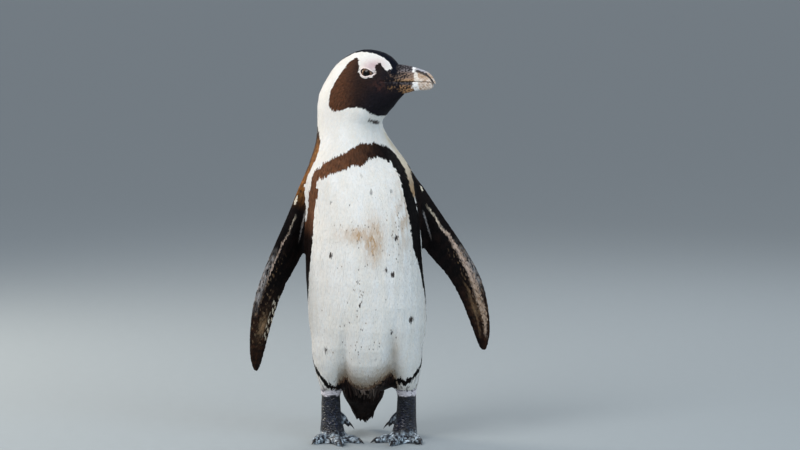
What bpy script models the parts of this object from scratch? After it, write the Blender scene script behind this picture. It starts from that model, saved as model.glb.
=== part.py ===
"""African penguin, life size, standing upright with its head turned to its left.

Metres, +Z up. The bird faces -Y, and its own left is +X. The pieces are modelled about a point on the
floor between the feet, and hang from an empty that moves the middle of the bird's box over the origin.
Every dimension below is in millimetres, and MM turns it into metres where the points are made.
"""

import math

import bmesh
import bpy
import numpy as np
from mathutils import Matrix, Vector

MM = 0.001
GAP = 0.3  # clearance between pieces that meet

# Stance
HEAD_YAW = 58.0  # degrees, turned to the bird's left
CHEST_YAW = 18.0
NECK_LEAN = -22.0  # how far the neck's axis stands from the middle of the feet, along X
NECK_SETBACK = 2.0
LEAN_FROM, LEAN_TO = 200.0, 440.0
LEAN_CURVE = 1.6

# Trunk, neck and head, from the vent to the bill. Each row is a section: where it meets the back or crown
# (forward, up), where it meets the belly or throat (forward, up), its half width, and how far the weight on
# the left foot carries it along X.
SECTIONS = (
    ("vent", (-70, 76), (-30, 58), 30, 0),
    ("rump", (-74, 88), (0, 63), 40, 0),
    ("groin", (-76, 103), (32, 74), 50, 0),
    ("lower_belly", (-77, 122), (56, 95), 62.5, 2.5),
    ("thighs", (-76, 146), (71, 127), 75.5, 2.0),
    ("belly", (-73, 186), (81, 177), 78.8, 0.4),
    ("waist", (-68, 234), (85, 233), 77.5, -3.8),
    ("breast", (-61, 283), (82, 283), 75.5, -2.0),
    ("shoulders", (-55, 317), (75, 317), 73.5, 0),
    ("collar", (-50, 345), (66, 345), 73, 0),
    ("neck_base", (-46, 368), (54, 367), 67.5, 0),
    ("lower_neck", (-44.5, 388), (46, 385.5), 58, 0),
    ("neck", (-44.5, 411), (42, 402), 48.5, 0),
    ("nape", (-44, 436), (40, 416), 43, 0),
    ("hind_neck", (-40, 461), (45, 424.5), 40.5, 0),
    ("hind_crown", (-29.5, 481.5), (52, 431), 37, 0),
    ("ear", (-16.5, 499), (58, 437), 33.5, 0),
    ("cheek", (2.5, 511.5), (63.5, 441.5), 30, 0),
    ("eyes", (22, 518), (67.5, 446), 26.8, 0),
    ("lores", (44, 517), (72, 450.5), 21.5, 0),
    ("bill_base", (62, 511), (77, 455), 16, 0),
    ("chin", (72.5, 502), (82, 459), 11.5, 0),
    ("bill_socket", (79, 496), (86, 463.5), 8, 0),
)
SEGMENTS = 36
TRUNK_SQUARENESS = 2.15
HEAD_SQUARENESS = 2.05
CHEEK_FULLNESS = 0.10  # the head is this share wider below its middle than above

# Bill, in the head's own plane: forward of the neck's axis, and height
BILL_UPPER = (  # forward, height of the culmen, height of the cutting edge, half width
    (52, 500, 478, 9.0),
    (66, 500, 478, 10.6),
    (76, 499.8, 478, 10.0),
    (88, 499, 478.2, 9.0),
    (100, 496.6, 478.4, 8.0),
    (112, 493.8, 478.5, 7.0),
    (120, 491, 478.5, 6.0),
    (126, 486.6, 478.2, 4.6),
    (130, 481, 476.8, 2.7),
    (131.8, 477.8, 475.4, 1.3),
)
BILL_LOWER = (  # forward, height of the cutting edge, height of the keel, half width
    (52, 477.3, 459, 8.0),
    (66, 477.3, 458.5, 10.0),
    (78, 477.3, 460.5, 9.2),
    (90, 477.6, 463, 8.2),
    (102, 477.8, 466.2, 7.2),
    (113, 477.9, 467, 6.3),
    (121, 477.8, 467.8, 5.2),
    (126, 477.3, 469.4, 3.8),
    (128, 476.4, 471.4, 2.4),
)
BILL_SEGMENTS = 16
BILL_RINGS = 15

# Eyes
EYE_RADIUS = 10.0
EYE_FORWARD = 41.0
EYE_HEIGHT = 488.0
EYE_STANDS_OUT = 1.6  # the ball's height over the side of the head

# Flipper plan, from the shoulder to the tip: distance, leading edge, trailing edge, thickness
FLIPPER_PLAN = (
    (-26, -6, -28, 22),
    (-8, 2, -33, 24),
    (14, 8, -37, 22),
    (40, 14, -36, 18),
    (66, 20.5, -31, 14.5),
    (90, 26.5, -23, 12),
    (112, 31, -14, 10.2),
    (134, 34, -6.5, 9.0),
    (156, 34.5, -3.2, 8.0),
    (180, 31, -2.4, 6.8),
    (204, 24.5, -3.2, 5.6),
    (222, 17.5, -4.2, 4.6),
    (235, 9.5, -4.4, 3.8),
    (243, 2.5, -2, 2.8),
)
FLIPPER_SEGMENTS = 16
FLIPPER_RINGS = 18
FLIPPER_EDGE = 0.9  # half thickness at the trailing edge
FLIPPER_BOW = 7.0  # how far the middle stands forward of the line from shoulder to tip
# Shoulder place, tip place and turn of the leading edge towards the front, for each side
FLIPPER_POSES = {
    "right": ((-77, -10, 354), (-148.5, 24, 85.5), 32.0),
    "left": ((62, -2, 349), (157.5, 38, 111.5), 10.0),
}

# Legs: height, half width, half depth, place outward of the ankle, forward place
LEG = (
    (60.5, 12.8, 13.5, 0, -3),
    (68, 14.5, 18, -0.8, -1),
    (80, 19, 27, -2.2, 2),
    (98, 25.5, 38, -4.4, 5),
    (122, 30.5, 48, -7, 7),
    (148, 29, 49, -9, 8),
    (168, 19, 36, -10.5, 8),
)
THIGH_TOP = 150.0  # the height by which a leg has lost its foot's own place
LEG_SEGMENTS = 20

# Feet, in a frame with its origin under the ankle and x forward along the middle toe
ANKLE = {"right": (47.5, 3.0), "left": (53.0, 3.0)}  # sideways and back from the origin
FOOT_TURN = {"right": 17.0, "left": 23.0}  # toes in
TARSUS = (  # height, half width, half length, forward
    (59.8, 12.2, 12.8, 0),
    (44, 12.8, 12.6, 0.5),
    (30, 13.4, 13.6, 2),
    (19, 14.9, 16.8, 5),
    (9, 16.5, 20.5, 8),
    (-3, 17.5, 22, 9),
)
TOES = {  # angle outward from the middle toe, reach, half thickness at the root and at the end
    "outer": (46.0, 43.0, 8.6, 6.6),
    "middle": (2.0, 55.0, 9.0, 6.4),
    "inner": (-34.0, 50.0, 8.2, 5.8),
}
TOE_START = 6.0
KNUCKLES = 3
WEB_REACH = 0.82  # share of the toes' reach at the web's edge
WEB_THICKNESS = 5.2
HALLUX_PLACE = (0.0, -16.0, 30.5)  # forward, sideways (inner side negative), up
HALLUX_LENGTH = 17.0
HALLUX_RADIUS = 6.6
CLAW_LENGTH = 11.5
CLAW_RADIUS = 2.9
CLAW_SEGMENTS = 8
FOOT_VOXEL = 1.5
FOOT_TRIANGLES = 640

# Tail: forward, up, half width, half thickness
TAIL = (
    (-50.5, 63.0, 29.2, 20.5),
    (-59, 51, 27.5, 13.5),
    (-68, 37, 20.0, 7.2),
    (-76, 26, 15.5, 4.0),
    (-82.5, 17.5, 11.0, 2.4),
    (-86, 12.5, 6.0, 1.4),
)
TAIL_SIDE = -5.0  # the tail hangs a little to the bird's right
TAIL_PITCH = 27.0
TAIL_SEGMENTS = 22

# Finishes: colour, roughness
DARK_FEATHER = ((0.030, 0.022, 0.020), 0.75)
WHITE_FEATHER = ((0.80, 0.78, 0.74), 0.75)
BLACK_SKIN = ((0.022, 0.024, 0.028), 0.6)
HORN = ((0.045, 0.038, 0.036), 0.45)
CLAW_HORN = ((0.016, 0.014, 0.014), 0.35)
EYEBALL = ((0.035, 0.018, 0.010), 0.08)


# ---------------------------------------------------------------- helpers

def clear_scene():
    for obj in list(bpy.data.objects):
        bpy.data.objects.remove(obj)


def new_collection(name):
    made = bpy.data.collections.new(name)
    bpy.context.scene.collection.children.link(made)
    return made


def material(name, finish):
    colour, roughness = finish
    made = bpy.data.materials.new(name)
    made.use_nodes = True
    shader = made.node_tree.nodes["Principled BSDF"]
    shader.inputs["Base Color"].default_value = (*colour, 1)
    shader.inputs["Roughness"].default_value = roughness
    shader.inputs["Metallic"].default_value = 0
    return made


def smooth_step(low, high, x):
    t = min(max((x - low) / (high - low), 0.0), 1.0)
    return t * t * (3 - 2 * t)


def natural_spline(rows):
    """A function of the row number that passes smoothly (C2) through every row."""
    rows = np.array(rows, float)
    n = len(rows)
    system = np.zeros((n, n))
    right = np.zeros_like(rows)
    system[0, 0] = system[-1, -1] = 1
    for i in range(1, n - 1):
        system[i, i - 1 : i + 2] = (1, 4, 1)
        right[i] = 6 * (rows[i - 1] - 2 * rows[i] + rows[i + 1])
    bend = np.linalg.solve(system, right)

    def at(s):
        i = min(max(int(s), 0), n - 2)
        t = s - i
        a, b = rows[i], rows[i + 1]
        return (
            (1 - t) * a + t * b
            + ((1 - t) ** 3 - (1 - t)) / 6 * bend[i]
            + (t**3 - t) / 6 * bend[i + 1]
        )

    return at


def power(x, exponent):
    return math.copysign(abs(x) ** exponent, x)


def oval(count, squareness=2.0):
    """Points round a unit superellipse, as (across, up)."""
    turn = [2 * math.pi * i / count for i in range(count)]
    e = 2 / squareness
    return [(power(math.sin(a), e), power(math.cos(a), e)) for a in turn]


def loft(name, rings, finish, collection):
    """A closed skin over rings of equal count, given in millimetres, with a flat cap at each end."""
    bm = bmesh.new()
    rows = [[bm.verts.new(Vector(p) * MM) for p in ring] for ring in rings]
    count = len(rows[0])
    for low, high in zip(rows, rows[1:]):
        for i in range(count):
            j = (i + 1) % count
            bm.faces.new((low[i], low[j], high[j], high[i]))
    bm.faces.new(rows[0])
    bm.faces.new(rows[-1])
    bmesh.ops.recalc_face_normals(bm, faces=bm.faces)
    return add_object(name, bm, finish, collection)


def add_object(name, bm, finish, collection):
    mesh = bpy.data.meshes.new(name)
    bm.to_mesh(mesh)
    bm.free()
    mesh.materials.append(finish)
    mesh.shade_smooth()
    made = bpy.data.objects.new(name, mesh)
    collection.objects.link(made)
    return made


def baked(obj):
    """obj with its modifiers applied to its mesh."""
    graph = bpy.context.evaluated_depsgraph_get()
    mesh = bpy.data.meshes.new_from_object(obj.evaluated_get(graph))
    obj.modifiers.clear()
    obj.data = mesh
    return obj


def grown(obj, cutters):
    """A cutter: a copy of obj that is larger by the gap all over."""
    made = bpy.data.objects.new(obj.name + "_cutter", obj.data)
    made.matrix_world = obj.matrix_world
    cutters.objects.link(made)
    made.hide_render = True
    made.display_type = "WIRE"
    swell = made.modifiers.new("swell", "DISPLACE")
    swell.strength = GAP * MM
    swell.mid_level = 0
    return made


def cut(obj, *tools):
    for tool in tools:
        boolean = obj.modifiers.new("cut", "BOOLEAN")
        boolean.operation = "DIFFERENCE"
        boolean.solver = "EXACT"
        boolean.object = tool
    baked(obj)
    keep_largest(obj)
    return obj


def keep_largest(obj):
    """Removes the slivers that a cut leaves beside the main body."""
    bm = bmesh.new()
    bm.from_mesh(obj.data)
    left, bodies = set(bm.verts), []
    while left:
        body, edge = set(), {left.pop()}
        while edge:
            body |= edge
            edge = {e.other_vert(v) for v in edge for e in v.link_edges} - body
        left -= body
        bodies.append(body)
    bodies.sort(key=len)
    for body in bodies[:-1]:
        bmesh.ops.delete(bm, geom=list(body), context="VERTS")
    bm.to_mesh(obj.data)
    bm.free()


def triangle_count(mesh):
    mesh.calc_loop_triangles()
    return len(mesh.loop_triangles)


# ---------------------------------------------------------------- trunk, neck and head

def heading(yaw):
    """Forward and rightward directions of a part that is turned by yaw degrees to the bird's left."""
    a = math.radians(yaw)
    return np.array((math.sin(a), -math.cos(a), 0)), np.array((-math.cos(a), -math.sin(a), 0))


def stance(z):
    """The body's axis at height z, and how far the body is turned there."""
    share = min(max((z - LEAN_FROM) / (LEAN_TO - LEAN_FROM), 0.0), 1.0)
    axis = np.array((NECK_LEAN * share**LEAN_CURVE, NECK_SETBACK * share, 0))
    yaw = CHEST_YAW * smooth_step(100, 330, z)
    yaw += (HEAD_YAW - CHEST_YAW) * smooth_step(340, 440, z)
    return axis, yaw


BODY = natural_spline([(*back, *front, *sizes) for _, back, front, *sizes in SECTIONS])
STATION = {name: i for i, (name, *_) in enumerate(SECTIONS)}


def body_ring(s):
    """The section at s, where whole numbers are the rows of SECTIONS."""
    back_u, back_z, front_u, front_z, wide, aside = BODY(s)
    axis, yaw = stance((back_z + front_z) / 2)
    axis = axis + np.array((aside, 0, 0))
    forward, right = heading(yaw)
    back = axis + forward * back_u + np.array((0, 0, back_z))
    front = axis + forward * front_u + np.array((0, 0, front_z))
    middle, dorsal = (back + front) / 2, (back - front) / 2
    head = smooth_step(STATION["nape"], STATION["ear"], s)
    squareness = TRUNK_SQUARENESS + (HEAD_SQUARENESS - TRUNK_SQUARENESS) * head
    return [
        middle + dorsal * up + right * across * wide * (1 - CHEEK_FULLNESS * head * up)
        for across, up in oval(SEGMENTS, squareness)
    ]


def body_piece(name, start, end, rings, finish, collection):
    return loft(name, [body_ring(s) for s in np.linspace(start, end, rings)], finish, collection)


def head_point(forward_mm, right_mm, z):
    """A point given in the head's own turned plane."""
    axis, yaw = stance(LEAN_TO + 100)
    forward, right = heading(yaw)
    return axis + forward * forward_mm + right * right_mm + np.array((0, 0, z))


def bill_piece(name, rows, upper, finish, collection):
    """A mandible: rounded on its outer side, flat along the cutting edge."""
    at = natural_spline(rows)
    rings = []
    for s in np.linspace(0, len(rows) - 1, BILL_RINGS):
        u, top, low, wide = at(s)
        edge = low if upper else top
        arch = top - low
        ring = []
        for across, up in oval(BILL_SEGMENTS, 2.3):
            outer = up if upper else -up
            height = arch * max(outer + 0.1, 0) / 1.1
            side = across * wide * (1 - 0.22 * max(outer, 0))
            ring.append(head_point(u, side, edge + (height if upper else -height)))
        rings.append(ring)
    return loft(name, rings, finish, collection)


def side_of_head(forward_mm, z):
    """Half width of the head at a place in its side view, found along the body's sections."""
    best = min(np.linspace(STATION["ear"], STATION["bill_base"], 400), key=lambda s: miss(s, forward_mm, z))
    back_u, back_z, front_u, front_z, wide, _ = BODY(best)
    length = math.hypot(back_u - front_u, back_z - front_z) / 2
    middle_u, middle_z = (back_u + front_u) / 2, (back_z + front_z) / 2
    up = ((forward_mm - middle_u) * (back_u - front_u) + (z - middle_z) * (back_z - front_z))
    up /= 2 * length * length
    return wide * (1 - abs(up) ** HEAD_SQUARENESS) ** (1 / HEAD_SQUARENESS) * (1 - CHEEK_FULLNESS * up)


def miss(s, forward_mm, z):
    """How far a point of the side view lies from the plane of section s."""
    back_u, back_z, front_u, front_z, *_ = BODY(s)
    du, dz = back_u - front_u, back_z - front_z
    return abs((forward_mm - front_u) * dz - (z - front_z) * du) / math.hypot(du, dz)


def eyeball(name, side, finish, collection):
    reach = side_of_head(EYE_FORWARD, EYE_HEIGHT) + EYE_STANDS_OUT - EYE_RADIUS
    centre = head_point(EYE_FORWARD, side * reach, EYE_HEIGHT)
    bm = bmesh.new()
    bmesh.ops.create_uvsphere(bm, u_segments=14, v_segments=8, radius=EYE_RADIUS * MM)
    outward = Vector(head_point(0, side, 0) - head_point(0, 0, 0))
    turn = outward.to_track_quat("Z", "Y").to_matrix().to_4x4()
    bmesh.ops.transform(bm, matrix=Matrix.Translation(Vector(centre) * MM) @ turn, verts=bm.verts)
    return add_object(name, bm, finish, collection)


# ---------------------------------------------------------------- limbs and tail

def flipper(name, side, finish, collection):
    shoulder, tip, roll = FLIPPER_POSES[side]
    shoulder, tip = np.array(shoulder, float), np.array(tip, float)
    outward = -1 if side == "right" else 1
    along = (tip - shoulder) / np.linalg.norm(tip - shoulder)
    chord = np.cross(along, (0, 1, 0)) * outward
    chord /= np.linalg.norm(chord)
    face = np.cross(chord, along)
    face *= -np.sign(face[1])  # towards the bird's front
    a = math.radians(roll)
    chord, face = chord * math.cos(a) + face * math.sin(a), face * math.cos(a) - chord * math.sin(a)
    reach = np.linalg.norm(tip - shoulder)
    scale = reach / (FLIPPER_PLAN[-1][0] + 3)
    at = natural_spline(FLIPPER_PLAN)
    rings = []
    for s in np.linspace(0, len(FLIPPER_PLAN) - 1, FLIPPER_RINGS):
        distance, lead, trail, thick = at(s)
        bow = FLIPPER_BOW * math.sin(math.pi * max(distance, 0) / FLIPPER_PLAN[-1][0])
        ring = []
        for across, up in oval(FLIPPER_SEGMENTS, 2.0):
            share = (across + 1) / 2  # 0 at the trailing edge, 1 at the leading edge
            fullness = max(math.sin(math.pi * share**1.7), 0) ** 0.75
            half = FLIPPER_EDGE + (thick / 2 - FLIPPER_EDGE) * fullness
            half *= math.copysign(min(1, 3 * abs(up)), up)
            place = trail + (lead - trail) * share
            ring.append(shoulder + along * distance * scale + chord * place + face * (half + bow))
        rings.append(ring)
    return loft(name, rings, finish, collection)


def leg(name, side, finish, collection):
    at = natural_spline(LEG)
    rings = []
    ankles = [ANKLE[label][0] for label in ("right", "left")]
    middle, own = sum(ankles) / 2, ankles[side > 0]
    for s in np.linspace(0, len(LEG) - 1, 10):
        z, wide, deep, out, forward = at(s)
        out += own + (middle - own) * smooth_step(LEG[0][0], THIGH_TOP, z)
        ring = [(side * out + wide * x, -forward + deep * y, z) for x, y in oval(LEG_SEGMENTS, 2.0)]
        rings.append(ring)
    return loft(name, rings, finish, collection)


def tail(finish, collection):
    a = math.radians(TAIL_PITCH)
    dorsal = np.array((0, math.cos(a), math.sin(a)))
    at = natural_spline(TAIL)
    rings = []
    for s in np.linspace(0, len(TAIL) - 1, 10):
        u, z, wide, thick = at(s)
        squareness = 2.15 + 1.2 * smooth_step(0, 3, s)
        ring = [
            np.array((TAIL_SIDE + wide * x, -u, z)) + dorsal * thick * y
            for x, y in oval(TAIL_SEGMENTS, squareness)
        ]
        rings.append(ring)
    return loft("tail", rings, finish, collection)


def foot_frame(side):
    """From the foot's own frame, x forward and y to its outer side, to the bird's."""
    label = "left" if side > 0 else "right"
    turn = math.radians(FOOT_TURN[label])
    sideways, back = ANKLE[label]
    forward = np.array((-side * math.sin(turn), -math.cos(turn), 0))
    outer = np.array((side * math.cos(turn), -math.sin(turn), 0))
    origin = np.array((side * sideways, back, 0))
    return lambda x, y, z: origin + forward * x + outer * y + np.array((0, 0, z))


def toe_ray(angle, distance):
    a = math.radians(angle)
    return distance * math.cos(a), distance * math.sin(a)


def toe_rings(angle, reach, root, end):
    """Sections of a toe in the foot's frame, swollen at the knuckles and rounded at the end."""
    rings = []
    for t in np.linspace(0, 1, 15):
        swell = 1 + 0.09 * math.cos(2 * math.pi * KNUCKLES * t)
        round_off = math.sqrt(max(1 - max(t - 0.88, 0) ** 2 / 0.12**2 * 0.75, 0.05))
        half = (root + (end - root) * t) * swell * round_off
        x, y = toe_ray(angle, TOE_START + (reach - TOE_START) * t)
        a = math.radians(angle)
        side = (-math.sin(a), math.cos(a))
        rings.append([
            (x + side[0] * half * across, y + side[1] * half * across, half * (0.86 * up + 0.62))
            for across, up in oval(14, 2.2)
        ])
    return rings


def hallux_point(t):
    """A place along the hind toe's middle line, in the foot's frame."""
    forward, inward, up = HALLUX_PLACE
    reach = HALLUX_LENGTH * t
    return forward + 0.35 * reach, inward + 5 - 0.75 * reach, up - 0.7 * reach * t


def web_rings(first, second):
    """A membrane between two toes, as a fan of flat sections whose far edge is hollow."""
    rings = []
    for t in np.linspace(0, 1, 9):
        angle = first[0] + (second[0] - first[0]) * t
        reach = (first[1] + (second[1] - first[1]) * t) * (WEB_REACH - 0.16 * math.sin(math.pi * t))
        ring = []
        for distance, lift in ((4, 1.0), (reach * 0.5, 0.95), (reach, 0.62)):
            ring.append((*toe_ray(angle, distance), WEB_THICKNESS * lift + 0.6))
        for distance in (reach, reach * 0.5, 4):
            ring.append((*toe_ray(angle, distance), -1.0))
        rings.append(ring)
    return rings


def foot(name, side, finish, collection):
    """Tarsus, toes and webs run together into one body, cut flat at the floor."""
    place = foot_frame(side)
    parts = []
    at = natural_spline(TARSUS)
    rings = []
    for s in np.linspace(0, len(TARSUS) - 1, 12):
        z, wide, long, forward = at(s)
        rings.append([(forward + long * y, wide * x, z) for x, y in oval(20, 2.1)])
    parts.append(rings)
    toes = list(TOES.values())
    parts += [toe_rings(*toe) for toe in toes]
    parts += [web_rings(toes[0], toes[1]), web_rings(toes[1], toes[2])]
    knob = []
    for t in np.linspace(0, 1, 8):
        x, y, z = hallux_point(t)
        half = HALLUX_RADIUS * math.sqrt(1 - 0.65 * t**4)
        knob.append([(x + half * across, y, z + half * up) for across, up in oval(12, 2.0)])
    parts.append(knob)
    bm = bmesh.new()
    for rings in parts:
        rows = [[bm.verts.new(Vector(place(*p)) * MM) for p in ring] for ring in rings]
        made = [bm.faces.new(rows[0]), bm.faces.new(rows[-1])]
        for low, high in zip(rows, rows[1:]):
            for i in range(len(low)):
                j = (i + 1) % len(low)
                made.append(bm.faces.new((low[i], low[j], high[j], high[i])))
        bmesh.ops.recalc_face_normals(bm, faces=made)
    obj = add_object(name, bm, finish, collection)
    fuse = obj.modifiers.new("fuse", "REMESH")
    fuse.mode = "VOXEL"
    fuse.voxel_size = FOOT_VOXEL * MM
    soften = obj.modifiers.new("soften", "SMOOTH")
    soften.factor = 0.5
    soften.iterations = 3
    baked(obj)
    thin = obj.modifiers.new("thin", "DECIMATE")
    thin.ratio = FOOT_TRIANGLES / triangle_count(obj.data)
    baked(obj)
    flatten(obj)
    return obj


def flatten(obj):
    """Cuts obj off at the floor, so that it stands on one flat, and at its top."""
    bm = bmesh.new()
    bm.from_mesh(obj.data)
    top = TARSUS[0][0] - 1.2
    for height, up in ((0.0, 1), (top, -1)):
        bmesh.ops.bisect_plane(
            bm,
            geom=bm.verts[:] + bm.edges[:] + bm.faces[:],
            plane_co=(0, 0, height * MM),
            plane_no=(0, 0, up),
            clear_inner=True,
        )
        loose = [e for e in bm.edges if e.is_boundary]
        bmesh.ops.holes_fill(bm, edges=loose, sides=0)
    bmesh.ops.triangulate(bm, faces=[f for f in bm.faces if len(f.verts) > 4])
    bmesh.ops.recalc_face_normals(bm, faces=bm.faces)
    bm.to_mesh(obj.data)
    bm.free()


def claw(name, place, root, angle, drop, length, radius, finish, collection):
    """A curved horn cone that starts inside the toe at root and bends down by drop."""
    a = math.radians(angle)
    forward, side = (math.cos(a), math.sin(a)), (-math.sin(a), math.cos(a))
    rings = []
    for t in np.linspace(0, 1, 6):
        half = radius * (1 - t) ** 0.75 + 0.35
        reach = length * t
        sink = drop * t * t
        rings.append([
            place(
                root[0] + forward[0] * reach + side[0] * half * x * 0.8,
                root[1] + forward[1] * reach + side[1] * half * x * 0.8,
                root[2] - sink + half * y,
            )
            for x, y in oval(CLAW_SEGMENTS, 2.0)
        ])
    return loft(name, rings, finish, collection)


def claws(side, label, foot_cutter, finish, collection):
    place = foot_frame(side)
    made = []
    for toe, (angle, reach, _, end) in TOES.items():
        x, y = toe_ray(angle, reach - 4.5)
        made.append(claw(
            f"claw_{toe}_{label}", place, (x, y, end * 0.86), angle, end * 0.86 - 0.9,
            CLAW_LENGTH, CLAW_RADIUS, finish, collection,
        ))
    made.append(claw(
        f"claw_hind_{label}", place, hallux_point(0.85), -55, 8.0,
        CLAW_LENGTH * 0.8, CLAW_RADIUS * 0.9, finish, collection,
    ))
    for piece in made:
        cut(piece, foot_cutter)


# ---------------------------------------------------------------- the bird

def main():
    clear_scene()
    bird, cutters = new_collection("african_penguin"), new_collection("cutters")
    dark, white = material("dark_feather", DARK_FEATHER), material("white_feather", WHITE_FEATHER)
    skin, horn = material("black_skin", BLACK_SKIN), material("horn", HORN)
    claw_horn, eye = material("claw_horn", CLAW_HORN), material("eyeball", EYEBALL)

    neck_from, head_from = STATION["neck_base"] + 0.3, STATION["hind_neck"]
    seam = 0.015  # a gap of about GAP, in rows
    trunk = body_piece("trunk", STATION["vent"], neck_from, 19, white, bird)
    body_piece("neck", neck_from + seam, head_from, 7, white, bird)
    head = body_piece("head", head_from + seam, len(SECTIONS) - 1, 17, dark, bird)

    upper = bill_piece("bill_upper", BILL_UPPER, True, horn, bird)
    lower = bill_piece("bill_lower", BILL_LOWER, False, horn, bird)
    eyes = [eyeball("eye_right", 1, eye, bird), eyeball("eye_left", -1, eye, bird)]
    cut(head, *(grown(piece, cutters) for piece in (upper, lower, *eyes)))

    trunk_cutter = grown(trunk, cutters)
    for side in ("right", "left"):
        cut(flipper(f"flipper_{side}", side, dark, bird), trunk_cutter)
    for side, label in ((-1, "right"), (1, "left")):
        cut(leg(f"leg_{label}", side, white, bird), trunk_cutter)
        paw = foot(f"foot_{label}", side, skin, bird)
        claws(side, label, grown(paw, cutters), claw_horn, bird)
    cut(tail(dark, bird), trunk_cutter)
    centre(bird)


def centre(collection):
    """Parents the pieces to an empty that puts the middle of their box over the origin."""
    pieces = list(collection.objects)
    corners = np.array([v.co for piece in pieces for v in piece.data.vertices])
    low, high = corners.min(axis=0), corners.max(axis=0)
    root = bpy.data.objects.new("penguin_root", None)
    root.location = (-(low[0] + high[0]) / 2, -(low[1] + high[1]) / 2, -low[2])
    collection.objects.link(root)
    for piece in pieces:
        piece.parent = root


main()
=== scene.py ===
"""Looks of the African penguin: a skin under a coat of solid feather vanes, with eyes, bill and claws.

Sizes are in millimetres and angles in degrees. Places are measured from a point on the floor between
the feet: +Z is up, the bird faces -Y, and its own left is +X. to_scene() and to_bird() convert them to
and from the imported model's metres, whose origin is under the middle of the bird's box.
"""

import math

import bmesh
import bpy
import numpy as np
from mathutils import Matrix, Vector
from mathutils.bvhtree import BVHTree


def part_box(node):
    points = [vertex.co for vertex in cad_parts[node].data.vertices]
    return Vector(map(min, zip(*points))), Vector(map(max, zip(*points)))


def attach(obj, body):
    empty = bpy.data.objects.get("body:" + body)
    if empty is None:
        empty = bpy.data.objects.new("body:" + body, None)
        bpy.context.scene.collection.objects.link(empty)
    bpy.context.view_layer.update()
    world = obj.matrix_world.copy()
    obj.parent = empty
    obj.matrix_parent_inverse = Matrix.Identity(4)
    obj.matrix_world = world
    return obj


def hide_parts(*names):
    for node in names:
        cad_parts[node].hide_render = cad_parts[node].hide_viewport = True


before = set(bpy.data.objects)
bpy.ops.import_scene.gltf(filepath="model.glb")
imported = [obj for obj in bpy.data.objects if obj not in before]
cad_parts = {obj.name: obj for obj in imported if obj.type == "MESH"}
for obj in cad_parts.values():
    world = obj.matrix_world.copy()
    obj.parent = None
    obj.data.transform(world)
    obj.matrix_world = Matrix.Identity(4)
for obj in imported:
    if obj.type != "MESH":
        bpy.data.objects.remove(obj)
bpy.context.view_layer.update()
MM = 0.001
CENTRING = np.array((-4.4, -1.26, 0.0))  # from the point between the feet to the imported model's origin

# ---------------------------------------------------------------- sizes

FLESH = (
    "head", "neck", "trunk", "tail", "flipper_left", "flipper_right",
    "leg_left", "leg_right", "foot_left", "foot_right",
)
BILL = ("bill_upper", "bill_lower")
LIMBS = ("tail", "flipper_left", "flipper_right", "leg_left", "leg_right")

# Stance, as the solids have it
NECK_LEAN, NECK_SETBACK, LEAN_CURVE = -22.0, 2.0, 1.6
LEAN_FROM, LEAN_TO = 200.0, 440.0
BODY_FACES, HEAD_FACES = -3.0, 58.0  # turned to the bird's left
TURN_FROM, TURN_TO = 318.0, 432.0
BILL_ROOT = (72.0, 482.0)  # forward, up: where the coat starts on the face
BILL_PLUG = 80.0  # the skin runs under the bill as far forward as this

# Skin
VOXEL, BILL_VOXEL = 1.8, 0.6
SWELL = 0.4  # closes the gaps between the solids
JUNCTION = (3.0, 10.0)  # a limb runs smoothly into the trunk over this distance
COAT_DEPTH = 1.1
GROOVES = ((-29.5, 8.0), (36.5, 8.0))  # between the belly and each thigh: across, half width
GROOVE_DEPTH = 8.0
GROOVE_HEIGHTS = (66, 84, 105, 185)  # start, full, fading, end

# Eyes, measured from the middle of each ball: forward, up, outward
OPENING_PLACE = (1.5, 1.0)
OPENING_WIDTH, OPENING_HEIGHT = 8.0, 4.5  # half sizes
OPENING_TILT = -8.0
OPENING_POINT = 0.42  # how much the front corner narrows
RIM_WIDTH, RIM_HEIGHT = 2.5, 0.9
LID_CLEARANCE = 0.2  # between lid and ball
LID_FEATHERS, LID_SKIN = 2.5, 3.4  # feathers start, and bare skin ends, this far from the opening
SOCKET = 13.0  # radius of the patch that is rebuilt round each eye
RING_STEPS = (6.5, 4.8, 3.6, 2.9, 2.4, 1.9, 1.4, 0.9, 0.4, 0.0)  # rings of the lids
LID_TUCKS = ((0.25, 0.35), (0.5, 1.1), (0.9, 2.6))  # rings turned in under the edge: inward, down
FINE_SKIN = 19.0  # radius of the finer skin round each eye
GAZE = 14.0  # the pupils look this far forward of straight out
PUPIL, IRIS = 4.3, 7.4
EYE_SPAN = 10.0  # the eye's colours are laid out from its gaze to this far off

GAPE = (57.0, 81.0, 477.7)  # from, to, height
CULMEN = (  # the bill's upper outline: forward, height
    (84, 499.4), (100, 496.6), (112, 493.8), (120, 491), (126, 486.6), (130, 481), (132, 477),
)
GAPE_DEPTH, GAPE_HALF = 1.3, 1.0
GAPE_SKIN_HALF = 1.3  # half the height of the bare skin behind the corner of the mouth

# Flippers: shoulder, tip, turn of the leading edge, +1 on the bird's left
FLIPPERS = {
    "flipper_right": ((-77.0, -10.0, 354.0), (-148.5, 24.0, 85.5), 32.0, -1),
    "flipper_left": ((62.0, -2.0, 349.0), (157.5, 38.0, 111.5), 10.0, 1),
}
FLIPPER_REACH = 246.0

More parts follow.
